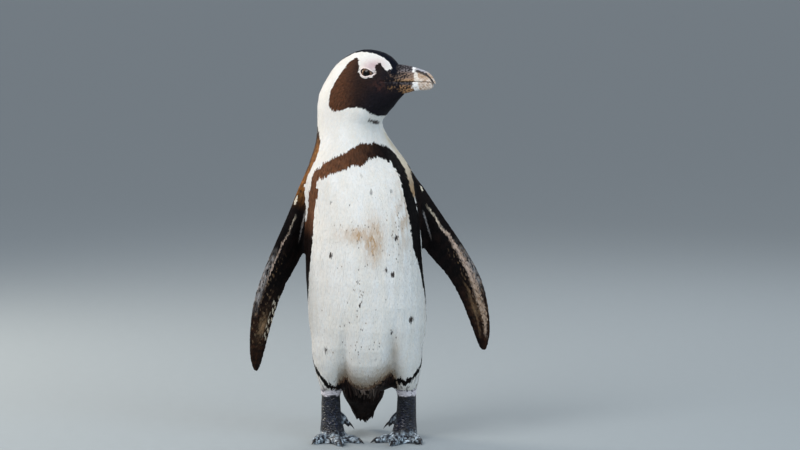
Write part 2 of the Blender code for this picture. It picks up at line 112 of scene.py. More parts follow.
# Coat: spacing, length and width of a vane where the coat's scale is 1
SPACING, LENGTH, WIDTH, THICKNESS = 1.9, 8.0, 2.5, 0.11
RING_PLACES = (0.0, 0.3, 0.62, 0.87)  # along a vane
RING_WIDTHS = (0.4, 1.0, 0.9, 0.55)
ROOT_LIFT = -0.15  # the root lies under the skin
SCALE_UP = ((60, 0.85), (110, 1.0), (330, 1.0), (400, 0.8), (450, 0.62), (490, 0.52))  # height, scale
SCALE_FROM_BILL = ((4, 0.30), (45, 0.50), (80, 1.0))  # distance, scale
FLIPPER_SCALE, TAIL_SCALE = 0.66, 1.5
OWN_DEPTHS = {"flipper": 0.35, "tail": 0.6, "foot": 0.0, "bill": 0.5}  # of the skin inside the solids
LID_DEPTH, LID_SPREAD = 0.3, 5.0  # the same near an eye, and how near that is
TRIES = 3.4  # places drawn for each vane that is wanted
HANGING = 1.2  # a loose vane this far from the skin has left it
TAIL_FLOW, LEG_FLOW = (0, 0.55, -0.83), (0, 0.05, -1)  # the way their feathers lie
FACE_FLOW = (120, 40)  # distances from the bill: feathers start to lie away from it, and do so in full
FLIPPER_SWEEP = 0.10  # how much the flippers' feathers lie back from their length
TAIL_SIDE = -5.0  # across, to the tail's middle
TAIL_STRETCH, TAIL_FLOOR = 2.0, 8.0  # its feathers are longer, and end above this height
LOOSE_BELOW, LOOSE_STRETCH = 46.0, 1.35  # the tail's loose end, and how much longer loose vanes are
MARKED_WIDTH = 0.7  # of a vane whose end has a colour of its own
PALE = 0.3  # a vane whose mean colour is above this belongs to the white of the front
MOST_VANES = 8800  # in one piece
FRONT_TURN, WAIST = 75, 215  # where the trunk's coat is divided: angle from the front, height
PATCH = 0.003  # size of a vane in the OFBake map
COAT_ENDS = 73.0  # height of the lowest feather roots on the leg
FACE_FROM, FACE_FEATHERS = 440.0, 79.0  # above the first, none grow further forward than the second
BARE_LEG, ANKLE_RING = 60.5, 69.5  # black skin below the first, pink between them

# ---------------------------------------------------------------- markings

BAND_INNER = {  # height, angle from the middle of the breast
    "right": (
        (85, 59), (92, 62), (102, 69), (114, 80), (127, 90), (150, 88), (180, 80), (196, 72), (213, 64),
        (231, 60), (249, 55.5), (268, 52.5), (290, 51.5), (308, 50), (332, 44), (337, 46), (340.5, 51),
        (347.5, 55), (350.4, 51), (355, 46), (359, 42), (362, 33), (365, 28), (367.3, 25), (368.7, 16),
        (371, 11), (374.4, 9), (378, 0), (381, -30),
    ),
    "left": (
        (79, 59), (86, 62), (96, 69), (109, 80), (125, 90), (150, 90), (180, 84), (207, 73),
        (235, 64.5), (257, 56.5), (279, 54), (311, 54), (335, 51), (355, 44), (362, 40), (368, 35),
        (374, 24), (378, 8), (380, -30),
    ),
}
BAND_OUTER = {  # the same for the band's other edge
    "right": (
        (82, 66), (88.5, 69), (97, 76), (109, 87), (124, 98), (150, 102), (180, 100), (204, 96),
        (235, 93), (262, 90), (285, 80), (298, 75), (305, 71), (314, 68), (324, 66), (335, 62),
        (345, 63), (352, 66), (358, 68), (362, 68), (366, 66), (371.5, 63), (376, 60), (381.4, 56),
        (384, 50), (387, 47), (391, 42), (394, 32), (396, 0), (398, -30),
    ),
    "left": (
        (77, 66), (83.5, 69), (93, 76), (106, 87), (123, 98), (150, 102), (180, 95), (204, 86),
        (235, 78), (270, 75), (302, 74), (324, 70), (335, 64), (342, 61), (352, 58), (362, 56),
        (367, 54), (381, 45), (390, 30), (395, 0), (398, -30),
    ),
}
MANTLE = {  # and for the edge of the dark back
    "right": (
        (60, 118), (110, 118), (150, 118), (204, 108), (235, 104), (270, 100), (300, 94), (320, 90),
        (336, 80), (348, 79), (366, 78), (383, 90), (399, 104), (415, 133), (430, 152), (520, 165),
    ),
    "left": (
        (60, 118), (110, 118), (150, 118), (204, 108), (235, 98), (262, 84), (280, 75), (302, 74),
        (324, 72), (335, 72), (342, 71), (354, 70), (367, 73), (381, 78), (390, 88), (399, 103),
        (415, 130), (430, 150), (520, 165),
    ),
}
MASK = (  # outline on the side of the head: forward, up
    (12, 503), (18, 506), (22.5, 507.5), (26, 504.5), (28.5, 500), (30.5, 494), (31, 488), (35, 483),
    (43, 481), (50, 483.5), (53.5, 489), (53, 494), (51.5, 497.5), (54, 501), (56.5, 501.5), (60, 498),
    (64.5, 493), (67, 491.5), (70.5, 493), (75, 497), (95, 500), (95, 455), (78, 454), (67.7, 445),
    (60, 436), (53, 430), (46, 436), (41, 441.5), (34, 443.5), (26, 443.5), (14, 440.5), (4, 438),
    (-2, 438), (-6, 445), (-8.5, 455), (-8, 465), (-4, 473), (0, 481), (6, 493),
)
VENT = (  # across, height of the vent's dark edge
    (-43, 40), (-37, 74), (-27, 84), (-19, 75), (-9, 70), (2, 69), (12, 75), (23, 84), (30, 90),
    (39, 80), (45, 40),
)
HEAD_FROM, NAPE_FROM, CROWN_FROM = 405, 425, 488  # heights where each begins
NAPE_END, CROWN_END = 5, 71.5  # as far forward as the nape and the crown go
VENT_SPAN = (-32, -24, 14, 22)  # the loose feathers under it: across, start, full, fading, end
CROWN_HALF, FOREHEAD_HALF = 9.0, 40.0  # half widths
FACE_FLECK = 0.6  # radius
RIM_SKIN = 2.1  # width of the pink round the eye
LID_LINE = (0.3, 0.9)  # width of the black line below the eye, and how much more it is above, the extra being painted shadow under the upper lid
NAPE_HALF = (  # height, half width
    (425, 21), (450, 14), (475, 11), (486, 9.5), (520, 9),
)
STREAK = (  # the pale line on the flipper's underside: along, across
    (30, 3), (46, 7), (54, 9.5), (70, 12), (82, 17), (97, 20), (112, 23), (127, 25), (142, 26),
    (158, 25.4), (175, 23), (191, 22), (207, 18), (222, 11),
)
SECOND_STREAK = ((146, 11), (155, 13), (174, 11), (193, 9.3), (210, 6.7), (224, 2.6))
SHOULDER_STRIPE = (
    (-76, -16, 346), (-78.5, -14, 334), (-79.5, -13, 326), (-80, -12, 318), (-81.5, -11, 305),
    (-83, -8, 290),
)
SPOTS = (  # across, height, radius
    (-6.4, 357.5, 1.5), (6.6, 336, 1.7), (32.4, 336.4, 1.5), (-45.1, 323, 1.5), (38.9, 277, 2.2),
    (-45.2, 255, 1.9), (26, 236, 2.1), (35, 230.6, 2.3), (58.4, 169, 2.8), (33.7, 153, 2.0),
    (-52.4, 128, 2.3), (-11.4, 222, 1.2), (-7.6, 191, 1.2), (12.9, 118, 1.2), (3.8, 427.6, 1.3),
    (6.8, 426.9, 1.5), (9.8, 425.4, 1.5), (12.6, 424.6, 1.9), (15.6, 423.0, 1.7), (18.4, 422.0, 1.4),
)
FACE_FLECKS = ((34.2, 448.5), (46.2, 446.0))  # white, in the mask: forward, up
# Oval patches: across, height, width, tallness
STAIN_BAR = (-8, 280, 24, 10)
STAIN_STREAK = (10, 272, 13, 27)
SIDE_STAIN = (50, 300, 15, 48)
FLECK_FIELD = (-8, 200, 30, 80)
FLECK_PATCHES = ((-9, 202, 8, 22), (-4, 135, 26, 16), (-14, 286, 17, 11), (40, 292, 13, 30))
# Oval patches on the head: forward, height, width, tallness
GAPE_SKIN = (64, 473, 11, 7)
BARE_BROW = (49, 498, 14, 8)
NOSTRIL = (88, 487.6, 3.2, 0.75)
BILL_GROOVE = ((60, 492.5), (80, 491.5), (100, 488.3), (118, 484.0))  # forward, height
LOWER_GROOVE = 470.5  # height
PALE_BAND = {  # where it starts and its width, each with what it loses for each mm above BAND_LEVEL
    "bill_upper": (103.4, 0.35, 7.0, 0.2),
    "bill_lower": (100.5, 0.0, 8.5, 0.0),
}
BAND_LEVEL = 484
# On a flipper: along, across
TRAILING_EDGE = ((-26, -28), (14, -37), (66, -31), (112, -14), (134, -6.5), (240, -3))
SHOULDER_WIDTHS = (  # of the white stripe: height, half width
    (284, 0.3), (292, 1.2), (318, 1.8), (328, 2.2), (335, 3.6), (346, 3.6),
)
WORN_SIDE = (88, 12)  # above the left shoulder: angle from straight ahead, width
WORN_HEIGHTS = (345, 385, 398, 422)  # start, full, fading, end
WORN_EDGE_HEIGHTS = (320, 330, 372, 392)
WORN_PATCH = (186, 12, 12, 5)  # on the flipper's underside: along, across, length, width
FLIPPER_LOOKS = {  # strengths of the marks and of the painted sheen, where the pale line fades in and out, and its half widths
    "flipper_right": {
        "worn": 0.6, "second": 0.0, "patch": 1.0, "flecks": 0.35, "sheen": 0.95, "dots": 0.9,
        "line": (46, 54, 118, 150), "widths": ((46, 1.6), (60, 1.1), (110, 1.3), (150, 1.0)),
        "mark": ((-92, -16, 325), (-93, -15, 316)), "mark_width": 1.6,
    },
    "flipper_left": {
        "worn": 0.5, "second": 0.2, "patch": 0.35, "flecks": 0.3, "sheen": 0.6, "dots": 0.0,
        "line": (34, 46, 215, 232),
        "widths": ((30, 1.2), (60, 1.6), (100, 3.2), (150, 5.0), (190, 4.2), (225, 1.6)),
        "mark": ((72, -6, 341), (73, -6, 332)), "mark_width": 1.2,
    },
}


def colour(red, green, blue):
    """A colour as seen on a screen, 0 to 255, as the linear values that shaders use."""
    seen = np.array((red, green, blue)) / 255
    return np.where(seen < 0.04045, seen / 12.92, ((seen + 0.055) / 1.055) ** 2.4)


WHITE = colour(240, 238, 234)
CREAM = colour(224, 212, 190)
TAN = colour(168, 138, 106)
WORN = colour(204, 180, 164)
GOLD_AND_RIM_LIGHT = colour(150, 98, 46)
BROWN = colour(84, 53, 35)
DARK_BROWN = colour(42, 28, 24)
BLACK = colour(12, 9, 10)
SHEENED_MASK_BLACK = colour(26, 23, 28)
BAND_BROWN = colour(104, 68, 46)
BLUE_BLACK = colour(13, 16, 27)
PINK = colour(200, 174, 176)
RIM_PINK = colour(246, 228, 222)
RED_SKIN = colour(98, 60, 50)
SLATE = colour(166, 160, 158)
STAIN = colour(186, 150, 110)
GREY_BROWN = colour(142, 120, 94)
FOOT_BLACK = colour(20, 26, 44)
ANKLE_PINK = colour(253, 244, 250)
DUST_AND_HIGHLIGHT = colour(220, 238, 252)
HORN_GREY = colour(124, 118, 123)
HORN_DARK = colour(34, 30, 36)
HORN_BROWN = colour(170, 130, 92)
HORN_SKY_HIGHLIGHT = colour(172, 178, 192)
HORN_WHITE = colour(255, 255, 255)
HORN_PALE = colour(238, 230, 220)
HORN_TAN = colour(180, 150, 122)
HORN_TIP = colour(230, 216, 204)


# ---------------------------------------------------------------- numbers

def to_scene(p):
    return (np.asarray(p) + CENTRING) * MM


def to_bird(p):
    return np.asarray(p) / MM - CENTRING


def smooth(low, high, x):
    t = np.clip((x - low) / (high - low), 0, 1)
    return t * t * (3 - 2 * t)


def span(x, start, full, fading, end):
    """1 between full and fading, and 0 before start and after end."""
    return smooth(start, full, x) * smooth(end, fading, x)


def peak(x, middle, width):
    return np.exp(-((x - middle) / width) ** 2)


def patch(x, z, middle_x, middle_z, wide, tall):
    """1 at the middle of an oval patch, fading away from it."""
    return np.exp(-((x - middle_x) / wide) ** 2 - ((z - middle_z) / tall) ** 2)


def table(rows, x):
    """The value beside x in a table of (place, value) rows, in between by straight lines."""
    rows = np.array(rows, float)
    return np.interp(x, rows[:, 0], rows[:, 1])


def mix(a, b, share):
    share = np.asarray(share)
    return a + (b - a) * (share[:, None] if share.ndim == 1 else share)


def painted(tint, tone, share):
    return mix(tint, tone, np.clip(share, 0, 1))


def unit(vectors):
    return vectors / np.maximum(np.linalg.norm(vectors, axis=-1, keepdims=True), 1e-9)


def ripple(p, length, seed):
    """A repeatable smooth field between about -1 and 1, whose bumps are about length across."""
    rng = np.random.default_rng(seed)
    waves = rng.normal(size=(7, p.shape[1]))
    waves *= math.pi / length * rng.uniform(0.7, 1.5, (7, 1)) / np.linalg.norm(waves, axis=1)[:, None]
    return np.sin(p @ waves.T + rng.uniform(0, 2 * math.pi, 7)).sum(axis=1) / 3.2


def shaken(p, length, amount, seed):
    """Points moved about by up to about amount, for ragged edges."""
    moves = [ripple(p, length, seed + i) for i in range(3)]
    return p + amount * np.column_stack(moves)


def depth_inside(outline, x, y):
    """How far inside a closed outline each point lies, negative outside it."""
    nearest = np.full(len(x), 1e9)
    inside = np.zeros(len(x), bool)
    corners = [np.array(c, float) for c in outline]
    for a, b in zip(corners, corners[1:] + corners[:1]):
        reach = b - a
        t = np.clip(((x - a[0]) * reach[0] + (y - a[1]) * reach[1]) / (reach @ reach), 0, 1)
        nearest = np.minimum(nearest, np.hypot(x - a[0] - t * reach[0], y - a[1] - t * reach[1]))
        crosses = (a[1] > y) != (b[1] > y)
        inside ^= crosses & (x < a[0] + reach[0] * (y - a[1]) / (reach[1] or 1))
    return np.where(inside, nearest, -nearest)


def line_distance(line, p):
    """Distance from each point to a bent line through the given places, in space."""
    nearest = np.full(len(p), 1e9)
    places = [np.array(c, float) for c in line]
    for a, b in zip(places, places[1:]):
        reach = b - a
        t = np.clip((p - a) @ reach / (reach @ reach), 0, 1)
        nearest = np.minimum(nearest, np.linalg.norm(p - a - t[:, None] * reach, axis=1))
    return nearest


# ---------------------------------------------------------------- places on the bird

def around(p):
    """Angle round the body, 0 at the middle of the breast and growing to the bird's left."""
    z = p[:, 2]
    share = np.clip((z - LEAN_FROM) / (LEAN_TO - LEAN_FROM), 0, 1)
    x = p[:, 0] - NECK_LEAN * share**LEAN_CURVE
    y = p[:, 1] - NECK_SETBACK * share
    return (np.degrees(np.arctan2(x, -y)) - heading(z) + 180) % 360 - 180


def heading(z):
    return BODY_FACES + (HEAD_FACES - BODY_FACES) * smooth(TURN_FROM, TURN_TO, z)


def head_directions():
    a = math.radians(HEAD_FACES)
    forward = np.array((math.sin(a), -math.cos(a), 0))
    return forward, np.array((forward[1], -forward[0], 0))


def head_place(p):
    """Forward, rightward and upward places in the head's own plane."""
    forward, right = head_directions()
    off = p - (NECK_LEAN, NECK_SETBACK, 0)
    return off @ forward, off @ right, p[:, 2]


def head_point(forward_mm, right_mm, z):
    forward, right = head_directions()
    return np.array((NECK_LEAN, NECK_SETBACK, z)) + forward * forward_mm + right * right_mm


def flipper_directions(name):
    shoulder, tip, roll, outward = FLIPPERS[name]
    along = unit(np.array(tip) - shoulder)
    chord = unit(np.cross(along, (0, 1, 0)) * outward)
    face = np.cross(chord, along)
    face *= -np.sign(face[1])
    a = math.radians(roll)
    return along, chord * math.cos(a) + face * math.sin(a), face * math.cos(a) - chord * math.sin(a)


def flipper_place(p, name):
    """Along from the shoulder, across towards the leading edge, and out of the underside."""
    shoulder, tip, _, _ = FLIPPERS[name]
    along, chord, face = flipper_directions(name)
    off = p - np.array(shoulder)
    scale = np.linalg.norm(np.array(tip) - shoulder) / FLIPPER_REACH
    return off @ along / scale, off @ chord, off @ face


class Eye:
    """The place of one eyeball, and the shape of the opening between its lids."""

    def __init__(self, name, side):
        low, high = (to_bird(corner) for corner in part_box(name))
        self.name = name
        self.middle = (low + high) / 2
        self.radius = (high[2] - low[2]) / 2
        forward, right = head_directions()
        self.axes = np.array((forward, (0, 0, 1), right * side))

    def local(self, p):
        """Forward, up and outward from the middle of the ball."""
        return (p - self.middle) @ self.axes.T

    def world(self, q):
        return self.middle + q @ self.axes

    def edge(self, angle):
        """The opening's edge at an angle from forward, as (forward, up)."""
        across = OPENING_WIDTH * np.cos(angle)
        up = OPENING_HEIGHT * np.sin(angle) * (1 - OPENING_POINT * np.maximum(np.cos(angle), 0))
        a = math.radians(OPENING_TILT)
        return np.stack((
            OPENING_PLACE[0] + across * math.cos(a) - up * math.sin(a),
            OPENING_PLACE[1] + across * math.sin(a) + up * math.cos(a),
        ), axis=-1)

    def outside(self, p):
        """Distance outside the opening, for points on this side of the head, and large elsewhere."""
        q = self.local(p)
        outline = self.edge(np.linspace(0, 2 * math.pi, 48, endpoint=False))
        return np.where(q[:, 2] > 0, -depth_inside(outline, q[:, 0], q[:, 1]), 1e3)

    def ball_height(self, a, b):
        return np.sqrt(np.maximum(self.radius**2 - a**2 - b**2, 1.0))


EYES = (Eye("eye_right", 1), Eye("eye_left", -1))


# ---------------------------------------------------------------- colours of the coat and the skin

def white_tint(p):
    """The pale breast, cream where it is stained, greyish brown just above the vent, with painted shade
    in the valley by the left thigh, and black round the vent.
    """
    x, y, z = p.T
    tint = mix(WHITE, CREAM, 0.10 + 0.10 * ripple(p * (1, 1, 0.25), 9, 5).clip(-1, 1))
    stain = np.maximum(0.9 * patch(x, z, *STAIN_BAR), patch(x, z, *STAIN_STREAK)) * (y < 0)
    streaky = 0.5 + 0.3 * ripple(p * (1, 1, 0.35), 3, 8) + 0.5 * ripple(p * (1, 1, 0.8), 1.6, 12)
    tint = painted(tint, STAIN, 0.95 * stain * (0.5 + 0.6 * streaky))
    above_vent = z - table(VENT, x) - 3 + 2.5 * ripple(p * (1, 1, 0.3), 3, 9)
    # Painted shade: greyish brown laid into the valley between the belly and the left thigh.
    valley_shade = peak(x, GROOVES[1][0], 7) * smooth(165, 120, z) * (y < 0)
    tint = mix(tint, GREY_BROWN, np.maximum(0.9 * smooth(36, 0, above_vent), 0.45 * valley_shade))
    tint = mix(tint, BROWN, 0.8 * smooth(6, 0, above_vent))
    tuft = peak(x, 1, 13) * smooth(-24, 0, above_vent) * (0.4 + 0.8 * ripple(p, 4, 11))
    dark = painted(mix(BLACK, DARK_BROWN, 0.4 + 0.4 * ripple(p, 4, 10)), WORN, 0.65 * tuft)
    return mix(tint, dark, smooth(1, -3, above_vent))


def side_stain(p):
    """Faint streaks of dirt down the left of the breast."""
    streaks = np.clip(0.5 + 0.6 * ripple(p * (1, 1, 0.15), 3.5, 15), 0, 1)
    return 0.55 * patch(p[:, 0], p[:, 2], *SIDE_STAIN) * streaks * (p[:, 1] < 0)


def dark_tint(p):
    """Warm brown on the bird's right, near black on its left: the brown is partly the feathers' own
    faded colour and partly painted warm sunlight on the right side.
    """
    # Painted light: the sunlit right is browner than the left.
    share = smooth(-62, 44, p[:, 0] + 4 * ripple(p, 6, 11)) + 0.85 * smooth(308, 266, p[:, 2])
    return mix(painted(BAND_BROWN, DARK_BROWN, share), BLACK, smooth(0.45, 1.0, share))


def mantle_tint(p, past_edge):
    """The back: golden brown along its edge beside the right shoulder, partly the feathers' own brown
    and partly a painted warm rim of sunlight, and black beyond.
    """
    # Painted light: a warm rim along the sunlit right edge of the back.
    rim = smooth(25, 4, past_edge) * smooth(-10, -60, p[:, 0]) * span(p[:, 2], 265, 310, 385, 412)
    dark = mix(BLACK, DARK_BROWN, 0.25 + 0.2 * ripple(p, 14, 22))
    return painted(dark, GOLD_AND_RIM_LIGHT, rim * (0.75 + 0.35 * ripple(p, 3, 21)))


def torso_tint(p):
    """White in front, with a dark band, a dark back, and worn feathers between them on the left."""
    tint = mix(white_tint(p), STAIN, side_stain(p))
    moved = shaken(p, 3.6, 1.3, 31)
    turn, z = around(moved), moved[:, 2]
    left = turn > 0
    inner, outer, mantle = (
        np.where(left, table(rows["left"], z), table(rows["right"], z))
        for rows in (BAND_INNER, BAND_OUTER, MANTLE)
    )
    turn = np.abs(turn)
    band = (turn > inner) & (turn < outer)
    tint[band] = mix(dark_tint(p), BLACK, smooth(200, 110, z))[band]
    back = turn > mantle
    tint[back] = mantle_tint(p, turn - mantle)[back]
    worn = peak(np.where(left, turn + heading(z), 0), *WORN_SIDE) * span(z, *WORN_HEIGHTS)
    worn = np.maximum(worn, (turn > outer) * span(z, *WORN_EDGE_HEIGHTS))
    plain = left & ~band & ~back
    tint[plain] = painted(tint, mix(TAN, CREAM, smooth(330, 372, z)), worn)[plain]
    return paint_head(p, tint)


def spot_share(p):
    """How dark each point is made by the small spots of the front: the higher ones are faint."""
    x, y, z = p.T
    share = np.zeros(len(p))
    for spot_x, spot_z, radius in SPOTS:
        away = np.hypot(x - spot_x, (z - spot_z + 1.5) * 0.8) / radius
        share = np.maximum(share, smooth(1.35, 0.7, away))
    share *= np.where(z > 400, smooth(-13, -19, y), 1)
    return 0.95 * share * np.where((z > 300) & (z < 400), 0.5, 1) * (y < 0)


def spotted(p, tint):
    """The tint with the spots added, where it is pale."""
    return mix(tint, DARK_BROWN, spot_share(p) * (tint.mean(axis=1) > PALE))


def base_tint(p):
    """Spotted horn, darker towards the face, where the bill runs out into the skin beside it."""
    forward, across, z = head_place(p)
    place = np.column_stack((forward * 0.8, z * 1.3, across * 0.4))
    spots = 0.5 * (ripple(place, 1.6, 113) + ripple(place, 1.15, 116) + ripple(place, 2.4, 117))
    upper = mix(HORN_GREY * 0.6, HORN_GREY * 0.85, smooth(497, 491, z))
    upper = mix(upper, HORN_TAN, smooth(483, 480, z))
    upper = mix(upper, HORN_BROWN * 0.9, 0.5 * smooth(493, 487, z))
    lower = mix(HORN_GREY * 0.5, HORN_BROWN, smooth(475.5, 471, z))
    pale = mix(lower, upper, smooth(477.4, 478.2, z))
    pale *= table(((60, 0.25), (74, 0.55), (90, 1.0)), forward)[:, None]
    level = table(((60, 1.1), (76, 0.45), (90, 0.05), (104, -0.25)), forward)
    level = np.where((z > 478) & (z < 483), level - 0.6 * smooth(78, 92, forward), level)
    return mix(HORN_DARK * 0.6, pale, smooth(-0.4, 0.4, spots - level))


def mask_tint(p):
    """Brown at the back of the face and black towards the bill, redder at the corner of the mouth: the
    brown is partly the feathers' own and partly painted sunlight on the back of the face, and the black
    is lifted to a bluish black by a painted sheen.
    """
    forward, _, z = head_place(p)
    # Painted light: browner at the sunlit back of the face.
    tint = mix(BROWN, DARK_BROWN, smooth(2, 34, forward))
    # Painted sheen: the black towards the bill is a lighter bluish black.
    tint = mix(tint, SHEENED_MASK_BLACK, smooth(30, 62, forward - (z - 470) * 0.5))
    red = 0.9 * patch(forward, z, *GAPE_SKIN) * (0.3 + 0.3 * ripple(p, 2.4, 44))
    tint = painted(tint, RED_SKIN, red)
    return mix(tint, base_tint(p), smooth(60, 70, forward) * span(z, 463, 468, 491, 497))


def paint_head(p, tint):
    """Adds the face mask, crown, nape and bare brow to points of the head and the upper neck."""
    forward, across, z = head_place(p)
    moved_forward, _, moved_z = head_place(shaken(p, 3.2, 0.7, 41))
    on_head = z > HEAD_FROM
    mask = on_head & (depth_inside(MASK, moved_forward, moved_z) > 0)
    tint[mask] = mask_tint(p)[mask]
    for place, up in FACE_FLECKS:
        tint[on_head & (np.hypot(forward - place, z - up) < FACE_FLECK)] = WHITE
    brow = patch(forward, z, *BARE_BROW) * (on_head & ~mask)
    tint = painted(tint, PINK, 0.9 * brow)
    behind = forward < NAPE_END
    half = np.where(behind, table(NAPE_HALF, z), CROWN_HALF)
    half = np.where(forward + 0.5 * ripple(p, 3, 46) > CROWN_END, FOREHEAD_HALF, half)
    dorsal = (behind & (z > NAPE_FROM)) | (z > CROWN_FROM)
    crown = dorsal & (np.abs(across) + 0.5 * ripple(p, 3, 45) < half)
    tint[crown] = mix(BLACK, BLUE_BLACK, smooth(425, 465, z))[crown]
    for eye in EYES:
        away = eye.outside(p)
        tint[on_head & (away < RIM_SKIN)] = RIM_PINK
        # Painted shadow: the black line round the opening widens above it, under the upper lid.
        over = smooth(-1, 4, eye.local(p)[:, 1])
        tint[on_head & (away < LID_LINE[0] + LID_LINE[1] * over)] = BLACK
    return tint


def underside_tint(p, tint, along, across, look):
    """Adds the marks of a flipper's underside: a worn patch, two pale lines and tan flecks."""
    worn = smooth(130, 190, along) * smooth(-6, 6, across) * look["worn"]
    tint = mix(tint, BROWN, 0.6 * np.clip(worn * (0.6 + 0.5 * ripple(p, 4, 52)), 0, 1))
    past_line = across - table(STREAK, along)
    width = table(look["widths"], along)
    ragged = 0.25 * ripple(p, 2.5, 53) + 0.2 * ripple(p, 1.2, 58)
    line = smooth(1.15, 0.6, np.abs(past_line + 0.35 * width) / width + ragged)
    line *= span(along, *look["line"])
    pale = mix(CREAM, WORN, smooth(40, 90, along))
    outer = 0.8 * smooth(130, 175, along) + 0.3 * ripple(p, 2, 65)
    pale = painted(pale, mix(TAN, WORN, 0.5), outer)
    tint = painted(tint, pale, line * (0.72 + 0.4 * ripple(p, 1.4, 66)))
    off_second = np.abs(across - table(SECOND_STREAK, along)) / 1.7
    second = smooth(1.2, 0.5, off_second + 0.3 * ripple(p, 3, 54)) * span(along, 140, 156, 218, 228)
    tint = painted(tint, TAN, look["second"] * second)
    worn = patch(along, across, *WORN_PATCH) * look["patch"] * (0.7 + 0.5 * ripple(p, 2.2, 59))
    tint = painted(tint, TAN, 0.9 * worn)
    thin_line = smooth(1.4, 0.5, np.abs(across + 3 + (along - 46) * 0.12)) * span(along, 40, 46, 68, 84)
    tint = painted(tint, SLATE, 0.6 * thin_line)
    flecks = smooth(0.5, 0.9, ripple(p, 1.6, 55)) * smooth(-18, -10, past_line)
    return mix(tint, TAN, look["flecks"] * flecks * span(along, 90, 110, 196, 222))


def flipper_tint(p, name):
    """Black above, and black with pale streaks and tan flecks on the underside, with a painted grey
    sheen near the leading edge on both sides.
    """
    look = FLIPPER_LOOKS[name]
    along, across, out = flipper_place(p, name)
    tint = painted(BLACK, DARK_BROWN, 0.05 + 0.2 * ripple(p, 5, 51))
    tint = np.where((out > 0)[:, None], underside_tint(p, tint, along, across, look), tint)
    # Painted sheen: a grey reflection of the sky near the leading edge, stronger on the right flipper.
    sheen = smooth(7, 2, np.abs(across - table(STREAK, along) - 6)) * span(along, 85, 115, 145, 180)
    sheen *= 0.5 + 0.6 * ripple(np.column_stack((along * 0.12, across, out)), 1.1, 57)
    tint = painted(tint, SLATE, look["sheen"] * sheen)
    edge = smooth(3.4, 1.6, across - table(TRAILING_EDGE, along)) * span(along, 40, 60, 170, 200)
    tint = painted(tint, CREAM, 0.7 * edge * (out < 0))
    dots = smooth(0.1, 0.6, ripple(np.column_stack((along * 0.4, across, out)), 2.0, 60))
    dots *= span(along, 146, 154, 190, 212) * smooth(7.5, 5.5, across)
    tint = painted(tint, CREAM, look["dots"] * dots)
    # The flipper's root takes the back's colours, with their painted warm rim on the right flipper.
    tint = mix(tint, mantle_tint(p, np.full(len(p), 7.0)), smooth(44, 8, along))
    if name == "flipper_right":
        near = line_distance(SHOULDER_STRIPE, p) + 1.2 * ripple(p, 4, 56)
        tint[near < table(SHOULDER_WIDTHS, p[:, 2])] = WHITE
    tint[line_distance(look["mark"], p) < look["mark_width"]] = CREAM
    return tint


def leg_tint(p):
    """White feathers down to a bare pink ring above black skin."""
    z = p[:, 2]
    speckle = smooth(92, 76, z) * smooth(0.35, 0.7, ripple(p, 2.6, 62))
    tint = painted(torso_tint(p), DARK_BROWN, 0.6 * speckle)
    height = z + 1.6 * ripple(p, 5, 63)
    ring = painted(ANKLE_PINK, FOOT_BLACK, 0.7 * smooth(0.8, 1.0, ripple(p, 2.0, 64)))
    ring = mix(ring, FOOT_BLACK, 0.9 * smooth(1.1, 0.5, np.abs(height - ANKLE_RING + 0.6)))
    bare = z < ANKLE_RING
    tint[bare] = mix(ring, foot_tint(p), smooth(BARE_LEG + 1, BARE_LEG - 1, height))[bare]
    return tint


def tail_tint(p):
    tint = painted(BLACK, DARK_BROWN, 0.4 + 0.4 * ripple(p * (1, 1, 0.3), 5, 71))
    front = smooth(56, 70, p[:, 2]) * smooth(62, 44, p[:, 1])
    return painted(tint, STAIN, 0.45 * front * (1 + ripple(p, 4, 72)))


def foot_tint(p):
    return painted(FOOT_BLACK, BLACK, 0.4 + 0.4 * ripple(p, 5, 81))


def dust_share(p):
    """How much pale dust lies on the feet, with a painted pale highlight on the hind toes, from 0 to 1.
    """
    share = smooth(17, 8, p[:, 2] + 2 * ripple(p, 5, 86))
    share *= np.clip(0.75 + 0.45 * ripple(p, 5, 85), 0, 1)
    # Painted highlight: patchy pale glints on the hind toes, in the dust's colour.
    hind_toe_highlight = span(p[:, 0], -35, -31, 37, 41) * span(p[:, 2], 20, 25, 36, 42)
    return np.maximum(share, hind_toe_highlight * np.clip(0.5 + 0.5 * ripple(p, 6, 87), 0, 1))


def dye(p, part):
    """Colours of points in space, each by the part of the bird it belongs to."""
    kinds = {"leg": leg_tint, "tail": tail_tint, "foot": foot_tint}
    tint = np.empty((len(p), 3))
    for name in np.unique(part):
        chosen = part == name
        kind = str(name).split("_")[0]
        if kind == "flipper":
            tint[chosen] = flipper_tint(p[chosen], name)
        else:
            tint[chosen] = kinds.get(kind, torso_tint)(p[chosen])
    return tint


# ---------------------------------------------------------------- meshes

def numbers(items, name, width, kind=np.float32):
    """A property of a mesh's points, edges, faces or corners, with one row for each."""
    values = np.empty(len(items) * width, kind)
    items.foreach_get(name, values)
    return values.reshape(-1, width).astype(float if kind is np.float32 else int)


def edges_of(mesh):
    return numbers(mesh.edges, "vertices", 2, np.int32)


def triangles_of(mesh):
    return numbers(mesh.polygons, "vertices", 3, np.int32)


def points_of(mesh):
    return to_bird(numbers(mesh.vertices, "co", 3))


def put_points(mesh, points):
    mesh.vertices.foreach_set("co", to_scene(points).astype(np.float32).ravel())
    mesh.update()


